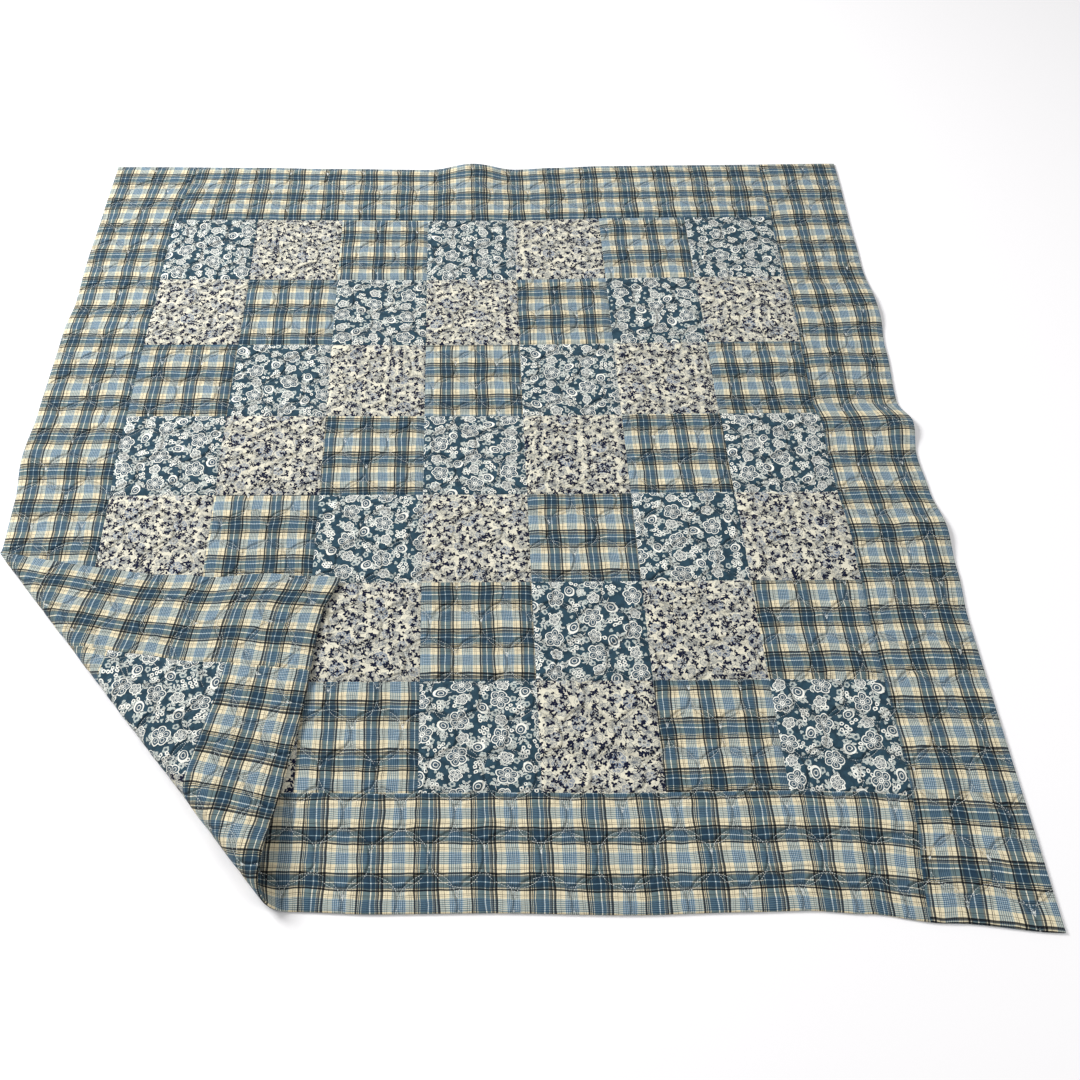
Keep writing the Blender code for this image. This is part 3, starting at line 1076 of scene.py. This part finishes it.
@dataclass(frozen=True)
class PlaidFinish(ClothFinish):
    """The yarn-dyed plaid: two setts of stripes, in millimetres, that cross."""

    name: str = "plaid"
    yarns: Yarns = Yarns()
    short_sett: Sett = (("white", 1.0), ("steel", 4.2), ("navy", 0.9), ("steel", 5.0), ("taupe", 2.6),
                        ("cream", 1.1), ("taupe", 1.4), ("black", 3.1), ("cream", 5.8), ("brown", 1.3),
                        ("cream", 2.2), ("brown", 0.8), ("cream", 6.7), *PINSTRIPED * 6, ("sky", 1.2),
                        ("cream", 4.2), ("grey", 0.7), ("cream", 2.3), ("brown", 1.3), ("cream", 7.6),
                        ("black", 3.1), ("taupe", 0.8), ("cream", 1.1), ("taupe", 2.4), ("steel", 4.2),
                        ("navy", 0.8), ("steel", 3.2), ("white", 1.0))
    long_sett: Sett = (("white", 1.3), ("navy", 7.2), ("cream", 1.1), ("taupe", 4.2), ("black", 2.0),
                       ("cream", 2.0), ("taupe", 1.6), ("black", 4.0), ("cream", 4.2), ("grey", 0.8),
                       ("cream", 3.4), ("brown", 0.8), ("cream", 8.5), *PINSTRIPED * 7, ("sky", 0.6),
                       ("cream", 7.4), ("brown", 0.8), ("cream", 3.3), ("grey", 0.8), ("cream", 4.0),
                       ("black", 3.7), ("cream", 1.3), ("black", 1.8), ("cream", 1.2), ("black", 1.6),
                       ("steel", 1.6), ("cream", 1.1), ("taupe", 0.8), ("navy", 8.4), ("steel", 5.2),
                       ("white", 1.3))
    short_repeat: float = 0.0918
    long_repeat: float = 0.1120
    waver: tuple[float, float, float] = (0.01105, 0.01275, 0.0)
    waver_scale: float = 12.0
    waver_detail: float = 2.0
    waver_roughness: float = 0.55
    evenness: float = 0.06

    def stripes(self, graph: Graph, place: Value, sett: Sett, repeat: float) -> bpy.types.NodeSocket:
        """Colour of the threads that run one way, from one colour ramp for each half of the sett.

        Args:
            graph: The material's graph.
            place: Place across the stripes, in metres.
            sett: The stripes of one repeat.
            repeat: Length of the repeat, in metres.

        Returns:
            The stripes' colour.
        """
        share = graph.math("FRACT", graph.math("DIVIDE", place, repeat))
        total = sum(width for _, width in sett)
        half = len(sett) // 2
        run, starts, colours = 0.0, [], []
        for part in (sett[:half], sett[half:]):
            ramp = graph.add("ShaderNodeValToRGB")
            ramp.color_ramp.interpolation = "CONSTANT"
            graph.feed(ramp.inputs[0], share)
            points = ramp.color_ramp.elements
            starts.append(run / total)
            colours.append(ramp.outputs[0])
            for number, (yarn, width) in enumerate(part):
                point = points[number] if number < 2 else points.new(run / total)
                point.position = run / total
                point.color = getattr(self.yarns, yarn)
                run += width
        second_half = graph.math("GREATER_THAN", share, starts[1])
        return graph.mix(second_half, *colours)

    def colour(self, graph: Graph, place: bpy.types.NodeSocket) -> bpy.types.NodeSocket:
        """Crossing stripes, each way's threads showing alike.

        Args:
            graph: The material's graph.
            place: Place on the cloth.

        Returns:
            The plaid's colour.
        """
        waver = graph.add("ShaderNodeTexNoise")
        graph.feed(waver.inputs["Vector"], place)
        waver.inputs["Scale"].default_value = self.waver_scale
        waver.inputs["Detail"].default_value = self.waver_detail
        waver.inputs["Roughness"].default_value = self.waver_roughness
        off = graph.vector("SUBTRACT", waver.outputs["Color"], (0.5, 0.5, 0.5))
        x, y, _ = graph.parts(graph.vector("ADD", place, graph.vector("MULTIPLY", off, self.waver)))
        across = self.stripes(graph, x, self.short_sett, self.short_repeat)
        along = self.stripes(graph, y, self.long_sett, self.long_repeat)
        crossed = graph.add("ShaderNodeGamma")
        graph.feed(crossed.inputs[0], graph.mix(1.0, across, along, "MULTIPLY"))
        crossed.inputs[1].default_value = 0.5
        return graph.mix(self.evenness, crossed.outputs[0], graph.mix(0.5, across, along))


@dataclass(frozen=True)
class Layout:
    """Half-drop layout of one motif: cell, seed, unevenness and shift, both of these in cells."""

    cell: float
    seed: float
    jitter: float
    shift: tuple[float, float, float] = (0.0, 0.0, 0.0)

    def spots(self, graph: Graph, place: Value) -> bpy.types.Node:
        """The motifs' own places, middles and chances at a place on the cloth."""
        return graph.use(scatter_group(), Place=place, Cell=self.cell, Jitter=self.jitter,
                         Seed=self.seed, Shift=self.shift)


@dataclass(frozen=True)
class OpenFlower:
    """Open flowers of one size."""

    layout: Layout
    radius: float
    petals: float
    line: float

    def drawn(self, graph: Graph, place: Value) -> bpy.types.Node:
        """The flowers' lines, bodies and hearts at a place on the cloth."""
        return graph.use(flower_group(), Local=self.layout.spots(graph, place).outputs["Local"],
                         Radius=self.radius, Petals=self.petals, Line=self.line)


@dataclass(frozen=True)
class ClosedRose:
    """Closed roses of one size."""

    layout: Layout
    radius: float
    squeeze: float
    line: float

    def drawn(self, graph: Graph, place: Value) -> bpy.types.Node:
        """The roses' lines, bodies and hearts at a place on the cloth."""
        return graph.use(rose_group(), Local=self.layout.spots(graph, place).outputs["Local"],
                         Radius=self.radius, Squeeze=self.squeeze, Line=self.line)


@dataclass(frozen=True)
class Sprig:
    """Leafy sprigs of one length."""

    layout: Layout
    length: float
    pitch: float = 0.0086
    leaf: float = 0.0084
    slim: float = 0.36
    line: float = 0.0008

    def drawn(self, graph: Graph, place: Value) -> bpy.types.Node:
        """The sprigs' lines and bodies at a place on the cloth."""
        return graph.use(sprig_group(), Local=self.layout.spots(graph, place).outputs["Local"],
                         Length=self.length, Pitch=self.pitch, Leaf=self.leaf, Slim=self.slim,
                         Line=self.line)


@dataclass(frozen=True)
class Lobed:
    """Florets, leaves, stars or darts of one size, by the number and shape of their lobes."""

    layout: Layout
    radius: float
    lobes: float
    notch: float
    slim: float
    lean: float = 0.0

    def drawn(self, graph: Graph, place: Value) -> tuple[bpy.types.Node, bpy.types.Node]:
        """The motifs' spots, and their bodies and hearts, at a place on the cloth.

        Args:
            graph: The material's graph.
            place: Place on the cloth.

        Returns:
            The layout's node and the motif's.
        """
        spots = self.layout.spots(graph, place)
        motif = graph.use(lobed_group(), Local=spots.outputs["Local"], Radius=self.radius,
                          Lobes=self.lobes, Notch=self.notch, Slim=self.slim, Lean=self.lean)
        return spots, motif


@dataclass(frozen=True)
class Bunch:
    """Bunches of tiny florets: where they are, how far one reaches, and its florets."""

    layout: Layout
    reach: float
    floret: Lobed
    unevenness: float = 0.35


@dataclass(frozen=True)
class SlateFloralFinish(ClothFinish):
    """The slate blue print with white drawn flowers in a half-drop layout."""

    name: str = "slate_floral"
    ground: Colour = dyed(44, 70, 84)
    deep: Colour = dyed(35, 57, 70)
    body: Colour = dyed(66, 84, 96)
    leaf: Colour = dyed(172, 180, 175)
    pale: Colour = dyed(60, 78, 94)
    white: Colour = dyed(235, 234, 224)
    broad_stray: float = 0.035
    fine_stray: float = 0.0040
    left_out: float = 0.30
    small_leaves: Lobed = Lobed(Layout(0.0225, 21.0, 0.5), 0.0042, 3.0, 0.50, 0.8)
    single_florets: Lobed = Lobed(Layout(0.0290, 22.0, 0.5), 0.0072, 5.0, 0.26, 0.8)
    sprigs: tuple[Sprig, ...] = (Sprig(Layout(0.040, 3.0, 0.4), 0.016),
                                 Sprig(Layout(0.053, 8.0, 0.4), 0.025))
    bunches: tuple[Bunch, ...] = (
        Bunch(Layout(0.057, 15.0, 0.16, (0.3, 0.1, 0.0)), 0.0095,
              Lobed(Layout(0.0095, 16.0, 0.3), 0.0046, 5.0, 0.16, 0.7)),
        Bunch(Layout(0.088, 5.0, 0.16, (0.5, 0.75, 0.0)), 0.0165,
              Lobed(Layout(0.0095, 6.0, 0.3), 0.0046, 5.0, 0.16, 0.7)))
    flowers: tuple[Union[ClosedRose, OpenFlower], ...] = (
        ClosedRose(Layout(0.088, 4.0, 0.14, (0.5, 0.25, 0.0)), 0.0135, 0.84, 0.0011),
        OpenFlower(Layout(0.088, 2.0, 0.12, (0.0, 0.5, 0.0)), 0.0132, 5.0, 0.0010),
        OpenFlower(Layout(0.088, 1.0, 0.12), 0.0210, 5.0, 0.0010))

    def strewn(self, graph: Graph, place: Value, colour: Value) -> bpy.types.NodeSocket:
        """Strews small leaves and single florets over a colour.

        Args:
            graph: The material's graph.
            place: Drawn place on the cloth.
            colour: What lies under them.

        Returns:
            The colour with them on it.
        """
        for motif in (self.small_leaves, self.single_florets):
            spots, drawn = motif.drawn(graph, place)
            shown = graph.math("GREATER_THAN", spots.outputs["Chance"], self.left_out)
            colour = graph.mix(graph.math("MULTIPLY", drawn.outputs["Body"], shown), colour, self.leaf)
        heart = graph.math("MULTIPLY", drawn.outputs["Heart"], shown)
        return graph.mix(heart, colour, self.body)

    def bunched(self, graph: Graph, place: Value, bunch: Bunch, colour: Value) -> bpy.types.NodeSocket:
        """Lays bunches of tiny round florets over a colour.

        Args:
            graph: The material's graph.
            place: Drawn place on the cloth.
            bunch: The bunches.
            colour: What lies under them.

        Returns:
            The colour with the bunches on it.
        """
        local = bunch.layout.spots(graph, place).outputs["Local"]
        spots, floret = bunch.floret.drawn(graph, local)
        reach = graph.math("MULTIPLY_ADD", spots.outputs["Chance"], -bunch.unevenness * bunch.reach,
                           bunch.reach)
        inside = graph.math("LESS_THAN", graph.length(spots.outputs["Middle"]), reach)
        colour = graph.mix(graph.math("MULTIPLY", floret.outputs["Body"], inside), colour, self.white)
        return graph.mix(graph.math("MULTIPLY", floret.outputs["Heart"], inside), colour, self.ground)

    def colour(self, graph: Graph, place: bpy.types.NodeSocket) -> bpy.types.NodeSocket:
        """Ground, leaves, sprigs, bunches, roses and open flowers, one over the other.

        Args:
            graph: The material's graph.
            place: Place on the cloth.

        Returns:
            The print's colour.
        """
        drawn = graph.use(drawn_group(), Place=place, Broad=self.broad_stray,
                          Fine=self.fine_stray).outputs["Place"]
        colour = graph.mix(graph.ramp(graph.noise(place, 60.0, 2.0), 0.35, 0.6), self.deep, self.ground)
        colour = self.strewn(graph, drawn, colour)
        for sprig in self.sprigs:
            motif = sprig.drawn(graph, drawn)
            colour = graph.mix(motif.outputs["Body"], colour, self.leaf)
            colour = graph.mix(motif.outputs["Line"], colour, self.white)
        for bunch in self.bunches:
            colour = self.bunched(graph, drawn, bunch, colour)
        for flower in self.flowers:
            motif = flower.drawn(graph, drawn)
            colour = graph.mix(motif.outputs["Body"], colour, self.body)
            colour = graph.mix(motif.outputs["Line"], colour, self.white)
            colour = graph.mix(motif.outputs["Heart"], colour, self.pale)
        return colour


@dataclass(frozen=True)
class CreamFloralFinish(ClothFinish):
    """The cream print strewn with navy darts and stars and grey blue blooms."""

    name: str = "cream_floral"
    ground: Colour = dyed(217, 212, 192)
    shade: Colour = dyed(158, 162, 158)
    navy: Colour = dyed(12, 20, 44)
    bloom: Colour = dyed(86, 104, 130)
    faint: Colour = dyed(92, 100, 110)
    broad_stray: float = 0.03
    fine_stray: float = 0.0027
    shade_share: float = 0.12
    petal_share: float = 0.08
    line_share: float = 0.70
    scrawl_share: float = 0.65
    scrawl_scale: float = 52.0
    scrawl_width: float = 0.011
    bloom_share: float = 0.8
    ring_share: float = 0.7
    line_flowers: tuple[OpenFlower, ...] = (OpenFlower(Layout(0.029, 31.0, 0.4), 0.0105, 4.0, 0.0008),
                                            OpenFlower(Layout(0.043, 32.0, 0.4), 0.0150, 4.0, 0.0008))
    blooms: tuple[OpenFlower, ...] = (OpenFlower(Layout(0.062, 33.0, 0.45), 0.0125, 6.0, 0.0010),
                                      OpenFlower(Layout(0.112, 38.0, 0.45), 0.0185, 8.0, 0.0010))
    leaves: Sprig = Sprig(Layout(0.097, 39.0, 0.5), 0.030, 0.0072, 0.0085)
    darts: tuple[Lobed, ...] = (Lobed(Layout(0.0230, 34.0, 0.55), 0.0055, 3.0, 0.58, 1.3, 0.45),
                                Lobed(Layout(0.0310, 35.0, 0.55), 0.0071, 3.0, 0.66, 1.6, 0.40),
                                Lobed(Layout(0.0410, 36.0, 0.55), 0.0084, 6.0, 0.80, 2.2, 0.00),
                                Lobed(Layout(0.0220, 37.0, 0.55), 0.0038, 2.0, 0.72, 1.1, 0.10))

    def background(self, graph: Graph, place: Value) -> bpy.types.NodeSocket:
        """The ground with its faint line flowers and scrawls.

        Args:
            graph: The material's graph.
            place: Drawn place on the cloth.

        Returns:
            The ground's colour.
        """
        shade = graph.ramp(graph.noise(place, 110.0, 1.0), 0.42, 0.60)
        colour = graph.mix(graph.math("MULTIPLY", shade, self.shade_share), self.ground, self.shade)
        for flower in self.line_flowers:
            motif = flower.drawn(graph, place)
            petals = graph.math("MULTIPLY", motif.outputs["Body"], self.petal_share)
            colour = graph.mix(petals, colour, self.bloom)
            lines = graph.math("MULTIPLY", motif.outputs["Line"], self.line_share)
            colour = graph.mix(lines, colour, self.faint)
        level = graph.math("SUBTRACT", graph.noise(place, self.scrawl_scale, 1.0), 0.5)
        scrawl = graph.math("LESS_THAN", graph.math("ABSOLUTE", level), self.scrawl_width)
        return graph.mix(graph.math("MULTIPLY", scrawl, self.scrawl_share), colour, self.faint)

    def colour(self, graph: Graph, place: bpy.types.NodeSocket) -> bpy.types.NodeSocket:
        """Ground, ringed blooms, leaf clusters, darts and stars, one over the other.

        Args:
            graph: The material's graph.
            place: Place on the cloth.

        Returns:
            The print's colour.
        """
        drawn = graph.use(drawn_group(), Place=place, Broad=self.broad_stray,
                          Fine=self.fine_stray).outputs["Place"]
        colour = self.background(graph, drawn)
        for flower in self.blooms:
            motif = flower.drawn(graph, drawn)
            body = graph.math("MULTIPLY", motif.outputs["Body"], self.bloom_share)
            colour = graph.mix(body, colour, self.bloom)
            rings = graph.math("MULTIPLY", motif.outputs["Line"], self.ring_share)
            colour = graph.mix(rings, colour, self.ground)
            colour = graph.mix(motif.outputs["Heart"], colour, self.navy)
        colour = graph.mix(self.leaves.drawn(graph, drawn).outputs["Body"], colour, self.navy)
        for dart in self.darts:
            _, motif = dart.drawn(graph, drawn)
            colour = graph.mix(motif.outputs["Body"], colour, self.navy)
        return colour


class Wardrobe:
    """The three cloths' materials, each made once."""

    def __init__(self) -> None:
        """Makes the materials."""
        self.materials = {
            Fabric.SLATE_FLORAL: SlateFloralFinish().material(),
            Fabric.CREAM_FLORAL: CreamFloralFinish().material(),
            Fabric.PLAID: PlaidFinish().material(),
        }

    def order(self) -> list[Fabric]:
        """The cloths in the order of the pieces' material slots."""
        return list(self.materials)


@dataclass(frozen=True)
class Placing:
    """How one cut piece of cloth lies on its fabric's pattern."""

    fabric: Fabric
    at: tuple[float, float] = (0.0, 0.0)
    turned: bool = False

    def pattern_place(self, u: np.ndarray, v: np.ndarray) -> tuple[np.ndarray, np.ndarray]:
        """Places in the fabric's pattern of flat places."""
        x, y = u - self.at[0], v - self.at[1]
        return (y, x) if self.turned else (x, y)


@dataclass(frozen=True)
class Panel:
    """One rectangle of the cut that a mesh holds: its bounds, cloth and place in the baked sheet."""

    low: tuple[float, float]
    high: tuple[float, float]
    placing: Placing
    sheet_low: tuple[float, float]
    sheet_high: tuple[float, float]


@dataclass(frozen=True)
class Ruling:
    """The lines along which a face is divided into small quads, close beside seams and hems."""

    cut: Cut
    step: float
    beside_seam: tuple[float, ...] = (0.0015, 0.004)
    beside_hem: tuple[float, ...] = (0.0002, 0.0007, 0.0015, 0.0025, 0.005)

    def lines(self, axis: int) -> np.ndarray:
        """All places of lines across axis 0 (u) or 1 (v), in rising order.

        Args:
            axis: Which axis.

        Returns:
            The places.
        """
        hem = self.cut.half_width if axis == 0 else self.cut.half_length
        fixed = [-hem, hem]
        fixed += [side * (hem - inside) for side in (-1, 1) for inside in self.beside_hem]
        for seam in self.cut.seams(axis):
            fixed += [seam + side * beside for side in (-1, 1) for beside in (0.0, *self.beside_seam)]
        fixed = np.unique(np.round(fixed, 6))
        places = [fixed[:1]]
        for low, high in zip(fixed[:-1], fixed[1:]):
            count = max(1, math.ceil((high - low) / self.step - 1e-6))
            places.append(np.linspace(low, high, count + 1)[1:])
        return np.concatenate(places)


@dataclass
class FaceBuilder:
    """Makes the meshes of one face from rectangles of the cut."""

    face: Face
    ruling: Ruling
    laying: Laying
    wardrobe: Wardrobe
    lines: list[np.ndarray] = field(default_factory=list)

    def __post_init__(self) -> None:
        """Works out the face's lines once."""
        self.lines = [self.ruling.lines(0), self.ruling.lines(1)]

    def within(self, axis: int, low: float, high: float) -> np.ndarray:
        """The lines of one axis from low to high, both included."""
        lines = self.lines[axis]
        return lines[(lines >= low - 1e-6) & (lines <= high + 1e-6)]

    def piece(self, name: str, panels: list[Panel]) -> bpy.types.Object:
        """A piece of this face made of panels that lie in one row or one column.

        Args:
            name: The piece's name.
            panels: Its panels.

        Returns:
            The new object.
        """
        low = np.min([panel.low for panel in panels], axis=0)
        high = np.max([panel.high for panel in panels], axis=0)
        across = self.within(0, low[0], high[0])
        along = self.within(1, low[1], high[1])
        u, v = np.meshgrid(across, along, indexing="ij")
        points = self.laying.points(self.face, u, v).reshape(-1, 3)
        number = np.arange(u.size).reshape(u.shape)
        corners = [number[:-1, :-1], number[1:, :-1], number[1:, 1:], number[:-1, 1:]]
        if self.face is Face.BACK:
            corners.reverse()
        quads = np.stack(corners, axis=-1).reshape(-1, 4)
        mesh = self.quad_mesh(name, points, quads)
        self.dress(mesh, panels, u.ravel()[quads], v.ravel()[quads])
        piece = bpy.data.objects.new(name, mesh)
        bpy.context.scene.collection.objects.link(piece)
        return piece

    def quad_mesh(self, name: str, points: np.ndarray, quads: np.ndarray) -> bpy.types.Mesh:
        """A smooth mesh of quads.

        Args:
            name: The mesh's name.
            points: Its points.
            quads: Four point numbers for each face.

        Returns:
            The mesh.
        """
        mesh = bpy.data.meshes.new(name)
        mesh.vertices.add(len(points))
        mesh.vertices.foreach_set("co", points.astype(np.float32).ravel())
        mesh.loops.add(quads.size)
        mesh.loops.foreach_set("vertex_index", quads.astype(np.int32).ravel())
        mesh.polygons.add(len(quads))
        mesh.polygons.foreach_set("loop_start", np.arange(0, quads.size, 4, dtype=np.int32))
        mesh.polygons.foreach_set("use_smooth", np.ones(len(quads), bool))
        mesh.update(calc_edges=True)
        return mesh

    def dress(self, mesh: bpy.types.Mesh, panels: list[Panel], u: np.ndarray, v: np.ndarray) -> None:
        """Gives a mesh its cloths and its maps of pattern, quilting and baked sheet.

        Args:
            mesh: The mesh.
            panels: Its panels.
            u: Flat place across of each face's four corners.
            v: Flat place along of each face's four corners.
        """
        used = sorted({panel.placing.fabric for panel in panels}, key=self.wardrobe.order().index)
        for fabric in used:
            mesh.materials.append(self.wardrobe.materials[fabric])
        middle_u, middle_v = u.mean(axis=1), v.mean(axis=1)
        slots = np.zeros(len(u), np.int32)
        pattern = np.zeros((*u.shape, 2), np.float32)
        sheet = np.zeros((*u.shape, 2), np.float32)
        for panel in panels:
            own = ((middle_u > panel.low[0]) & (middle_u < panel.high[0])
                   & (middle_v > panel.low[1]) & (middle_v < panel.high[1]))
            slots[own] = used.index(panel.placing.fabric)
            pattern[own] = np.stack(panel.placing.pattern_place(u[own], v[own]), axis=-1)
            flat = np.stack([u[own], v[own]], axis=-1)
            size = np.array(panel.high) - panel.low
            share = (flat - panel.low) / size
            if size[1] > 2 * size[0]:
                share = share[..., ::-1]
            sheet[own] = panel.sheet_low + share * (np.array(panel.sheet_high) - panel.sheet_low)
        drawn = np.stack(self.laying.sandwich.quilting.wandered(u, v), axis=-1)
        mesh.polygons.foreach_set("material_index", slots)
        for layer, places in (("OFBake", sheet), ("cloth", pattern), ("quilted", drawn)):
            mesh.uv_layers.new(name=layer).data.foreach_set("uv", places.astype(np.float32).ravel())


def baked_cell(number: int, across: int, down: int, margin: float = 0.004) -> tuple:
    """Corners of one cell of the baked sheet.

    Args:
        number: Which cell.
        across: Cells beside each other.
        down: Cells above each other.
        margin: Room kept free on each side.

    Returns:
        The cell's low and high corner.
    """
    column, row = number % across, number // across
    low = (column / across + margin, row / down + margin)
    high = ((column + 1) / across - margin, (row + 1) / down - margin)
    return low, high


# Places of a short and of a long white line in each plaid patch, by row and column
PLAID_LINES = {
    (0, 2): (-0.267, 0.704),
    (0, 5): (0.529, 0.723),
    (1, 1): (-0.531, 0.510),
    (1, 4): (0.231, 0.466),
    (2, 0): (-0.742, 0.273),
    (2, 3): (0.020, 0.289),
    (2, 6): (0.780, 0.277),
    (3, 2): (-0.275, -0.016),
    (3, 5): (0.524, -0.014),
    (4, 1): (-0.483, -0.215),
    (4, 4): (0.275, -0.260),
    (5, 0): (-0.742, -0.478),
    (5, 3): (0.020, -0.415),
    (5, 6): (0.746, -0.478),
    (6, 2): (-0.227, -0.703),
    (6, 5): (0.489, -0.748),
}


@dataclass
class PiecedCentre:
    """The square of patches of one face, a piece for each row."""

    builder: FaceBuilder
    cells_a_side: int = 3
    unseen_steps: tuple[float, float] = (0.02, 0.03)
    print_row_step: tuple[float, float] = (0.37, 0.13)
    print_column_step: tuple[float, float] = (-0.21, 0.29)

    def fabric(self, row: int, column: int) -> Fabric:
        """Cloth of a patch, rows counted from the far side and columns from the left."""
        return (Fabric.SLATE_FLORAL, Fabric.CREAM_FLORAL, Fabric.PLAID)[(row + column) % 3]

    def placing(self, row: int, column: int) -> Placing:
        """How a patch lies on its fabric's pattern.

        Args:
            row: Row, counted from the far side.
            column: Column, counted from the left.

        Returns:
            Where the patch is cut from its cloth.
        """
        fabric = self.fabric(row, column)
        if fabric is Fabric.PLAID:
            unseen = (self.unseen_steps[0] * row, self.unseen_steps[1] * column)
            return Placing(fabric, PLAID_LINES.get((row, column), unseen))
        steps = zip(self.print_row_step, self.print_column_step)
        return Placing(fabric, tuple(by_row * row + by_column * column for by_row, by_column in steps))

    def build(self) -> list[bpy.types.Object]:
        """Makes the rows.

        Returns:
            The pieces, from the far row to the near one.
        """
        cut = self.builder.ruling.cut
        across, along = cut.seams(0), cut.seams(1)
        pieces = []
        for row in range(cut.patches_a_side):
            low_v, high_v = along[-2 - row], along[-1 - row]
            panels = []
            for column in range(cut.patches_a_side):
                cell = baked_cell(column, self.cells_a_side, self.cells_a_side)
                panels.append(Panel((across[column], low_v), (across[column + 1], high_v),
                                    self.placing(row, column), *cell))
            name = f"{self.builder.face.value}_row_{row + 1}"
            piece = self.builder.piece(name, panels)
            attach(piece, "root")
            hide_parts("pieced_centre")
            log.info("%s: %d faces", piece.name, len(piece.data.polygons))
            pieces.append(piece)
        return pieces


# The same for the border strips of each face
STRIP_LINES = {
    Face.FRONT: {"far": (-0.083, 0.989), "near": (0.008, -0.981), "left": (-0.990, 0.285),
                 "right": (0.973, -0.025)},
    Face.BACK: {"far": (-0.040, 1.020), "near": (-0.046, -0.931), "left": (-0.972, 0.202),
                "right": (0.982, 0.040)},
}


@dataclass
class Borders:
    """The four plaid strips of one face."""

    builder: FaceBuilder
    stacked: int = 3

    def build(self) -> list[bpy.types.Object]:
        """Makes the strips.

        Returns:
            The pieces: far, near, left and right.
        """
        cut = self.builder.ruling.cut
        wide, long = cut.half_width, cut.half_length
        strips = {"far": ((cut.low[0], cut.high[1]), (cut.high[0], long)),
                  "near": ((cut.low[0], -long), (cut.high[0], cut.low[1])),
                  "left": ((-wide, -long), (cut.low[0], long)),
                  "right": ((cut.high[0], -long), (wide, long))}
        pieces = []
        for side, (low, high) in strips.items():
            lines = STRIP_LINES[self.builder.face][side]
            placing = Placing(Fabric.PLAID, lines, turned=side in ("far", "near"))
            piece = self.builder.piece(f"{self.builder.face.value}_border_{side}",
                                       self.thirds(low, high, placing))
            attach(piece, "root")
            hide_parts("border_" + side)
            log.info("%s: %d faces", piece.name, len(piece.data.polygons))
            pieces.append(piece)
        return pieces

    def thirds(self, low: tuple, high: tuple, placing: Placing) -> list[Panel]:
        """Divides a strip into panels that stack on one baked sheet.

        Args:
            low: The strip's low corner.
            high: The strip's high corner.
            placing: How it lies on the plaid.

        Returns:
            The panels.
        """
        axis = 0 if high[0] - low[0] > high[1] - low[1] else 1
        lines = self.builder.within(axis, low[axis], high[axis])
        stops = lines[np.linspace(0, len(lines) - 1, self.stacked + 1).round().astype(int)]
        panels = []
        for number in range(self.stacked):
            panel_low, panel_high = list(low), list(high)
            panel_low[axis], panel_high[axis] = stops[number], stops[number + 1]
            cell = baked_cell(number, 1, self.stacked)
            panels.append(Panel(tuple(panel_low), tuple(panel_high), placing, *cell))
        return panels


@dataclass
class Studio:
    """Pale floor, soft light and the camera, placed as the photograph was taken."""

    camera_place: tuple[float, float, float] = (-0.0372, -1.6780, 2.0952)
    camera_tilt: float = 34.08
    camera_turn: float = -0.42
    lens: float = 35.48
    sensor: float = 36.0
    shift: float = 0.0699
    lights: tuple = (("soft_box_left", (-4.4, 2.6, 3.6), 2.0, 520.0),
                     ("soft_box_right", (3.6, -1.6, 4.8), 3.5, 110.0))
    room_light: float = 0.38
    floor_side: float = 16.0
    floor_colour: Colour = (0.90, 0.89, 0.90, 1.0)
    floor_roughness: float = 0.95

    def build(self) -> None:
        """Makes the camera, the lights and the floor."""
        self.add_camera()
        self.add_floor()
        for name, place, size, power in self.lights:
            self.add_light(name, place, size, power)
        bpy.context.scene.view_settings.view_transform = "Standard"
        world = bpy.data.worlds.new("studio")
        bpy.context.scene.world = world
        world.use_nodes = True
        background = world.node_tree.nodes["Background"]
        background.inputs["Color"].default_value = (1.0, 1.0, 1.0, 1.0)
        background.inputs["Strength"].default_value = self.room_light

    def add_camera(self) -> None:
        """Sets the camera where the photograph's was."""
        data = bpy.data.cameras.new("camera")
        data.lens = self.lens
        data.sensor_width = self.sensor
        data.shift_x = self.shift
        camera = bpy.data.objects.new("camera", data)
        camera.location = self.camera_place
        camera.rotation_euler = (math.radians(self.camera_tilt), 0.0, math.radians(self.camera_turn))
        bpy.context.scene.collection.objects.link(camera)
        bpy.context.scene.camera = camera

    def add_light(self, name: str, place: tuple[float, float, float], size: float, power: float) -> None:
        """A square soft box that faces the quilt's middle.

        Args:
            name: The light's name.
            place: Where it hangs.
            size: Its side, in metres.
            power: Its power, in watts.
        """
        data = bpy.data.lights.new(name, "AREA")
        data.energy = power
        data.size = size
        light = bpy.data.objects.new(name, data)
        light.location = place
        away = np.array(place) / np.linalg.norm(place)
        light.rotation_euler = (math.acos(away[2]), 0.0, math.atan2(away[1], away[0]) + math.pi / 2)
        bpy.context.scene.collection.objects.link(light)

    def add_floor(self) -> None:
        """A plain pale floor under the quilt."""
        bpy.ops.mesh.primitive_plane_add(size=self.floor_side)
        floor = bpy.context.object
        floor.name = "floor"
        material = bpy.data.materials.new("pale_floor")
        material.use_nodes = True
        shader = material.node_tree.nodes["Principled BSDF"]
        shader.inputs["Base Color"].default_value = self.floor_colour
        shader.inputs["Roughness"].default_value = self.floor_roughness
        floor.data.materials.append(material)


def main() -> None:
    """Builds the studio, then the reverse and the front of the quilt."""
    logging.basicConfig(level=logging.INFO, format="%(name)s %(message)s")
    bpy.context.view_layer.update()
    Studio().build()
    laying, wardrobe = Laying(), Wardrobe()
    sandwich = laying.sandwich
    front = FaceBuilder(Face.FRONT, Ruling(sandwich.front_cut, FRONT_STEP), laying, wardrobe)
    back = FaceBuilder(Face.BACK, Ruling(sandwich.back_cut, BACK_STEP), laying, wardrobe)
    for builder in (back, front):
        PiecedCentre(builder).build()
        Borders(builder).build()


if __name__ == "__main__":
    main()
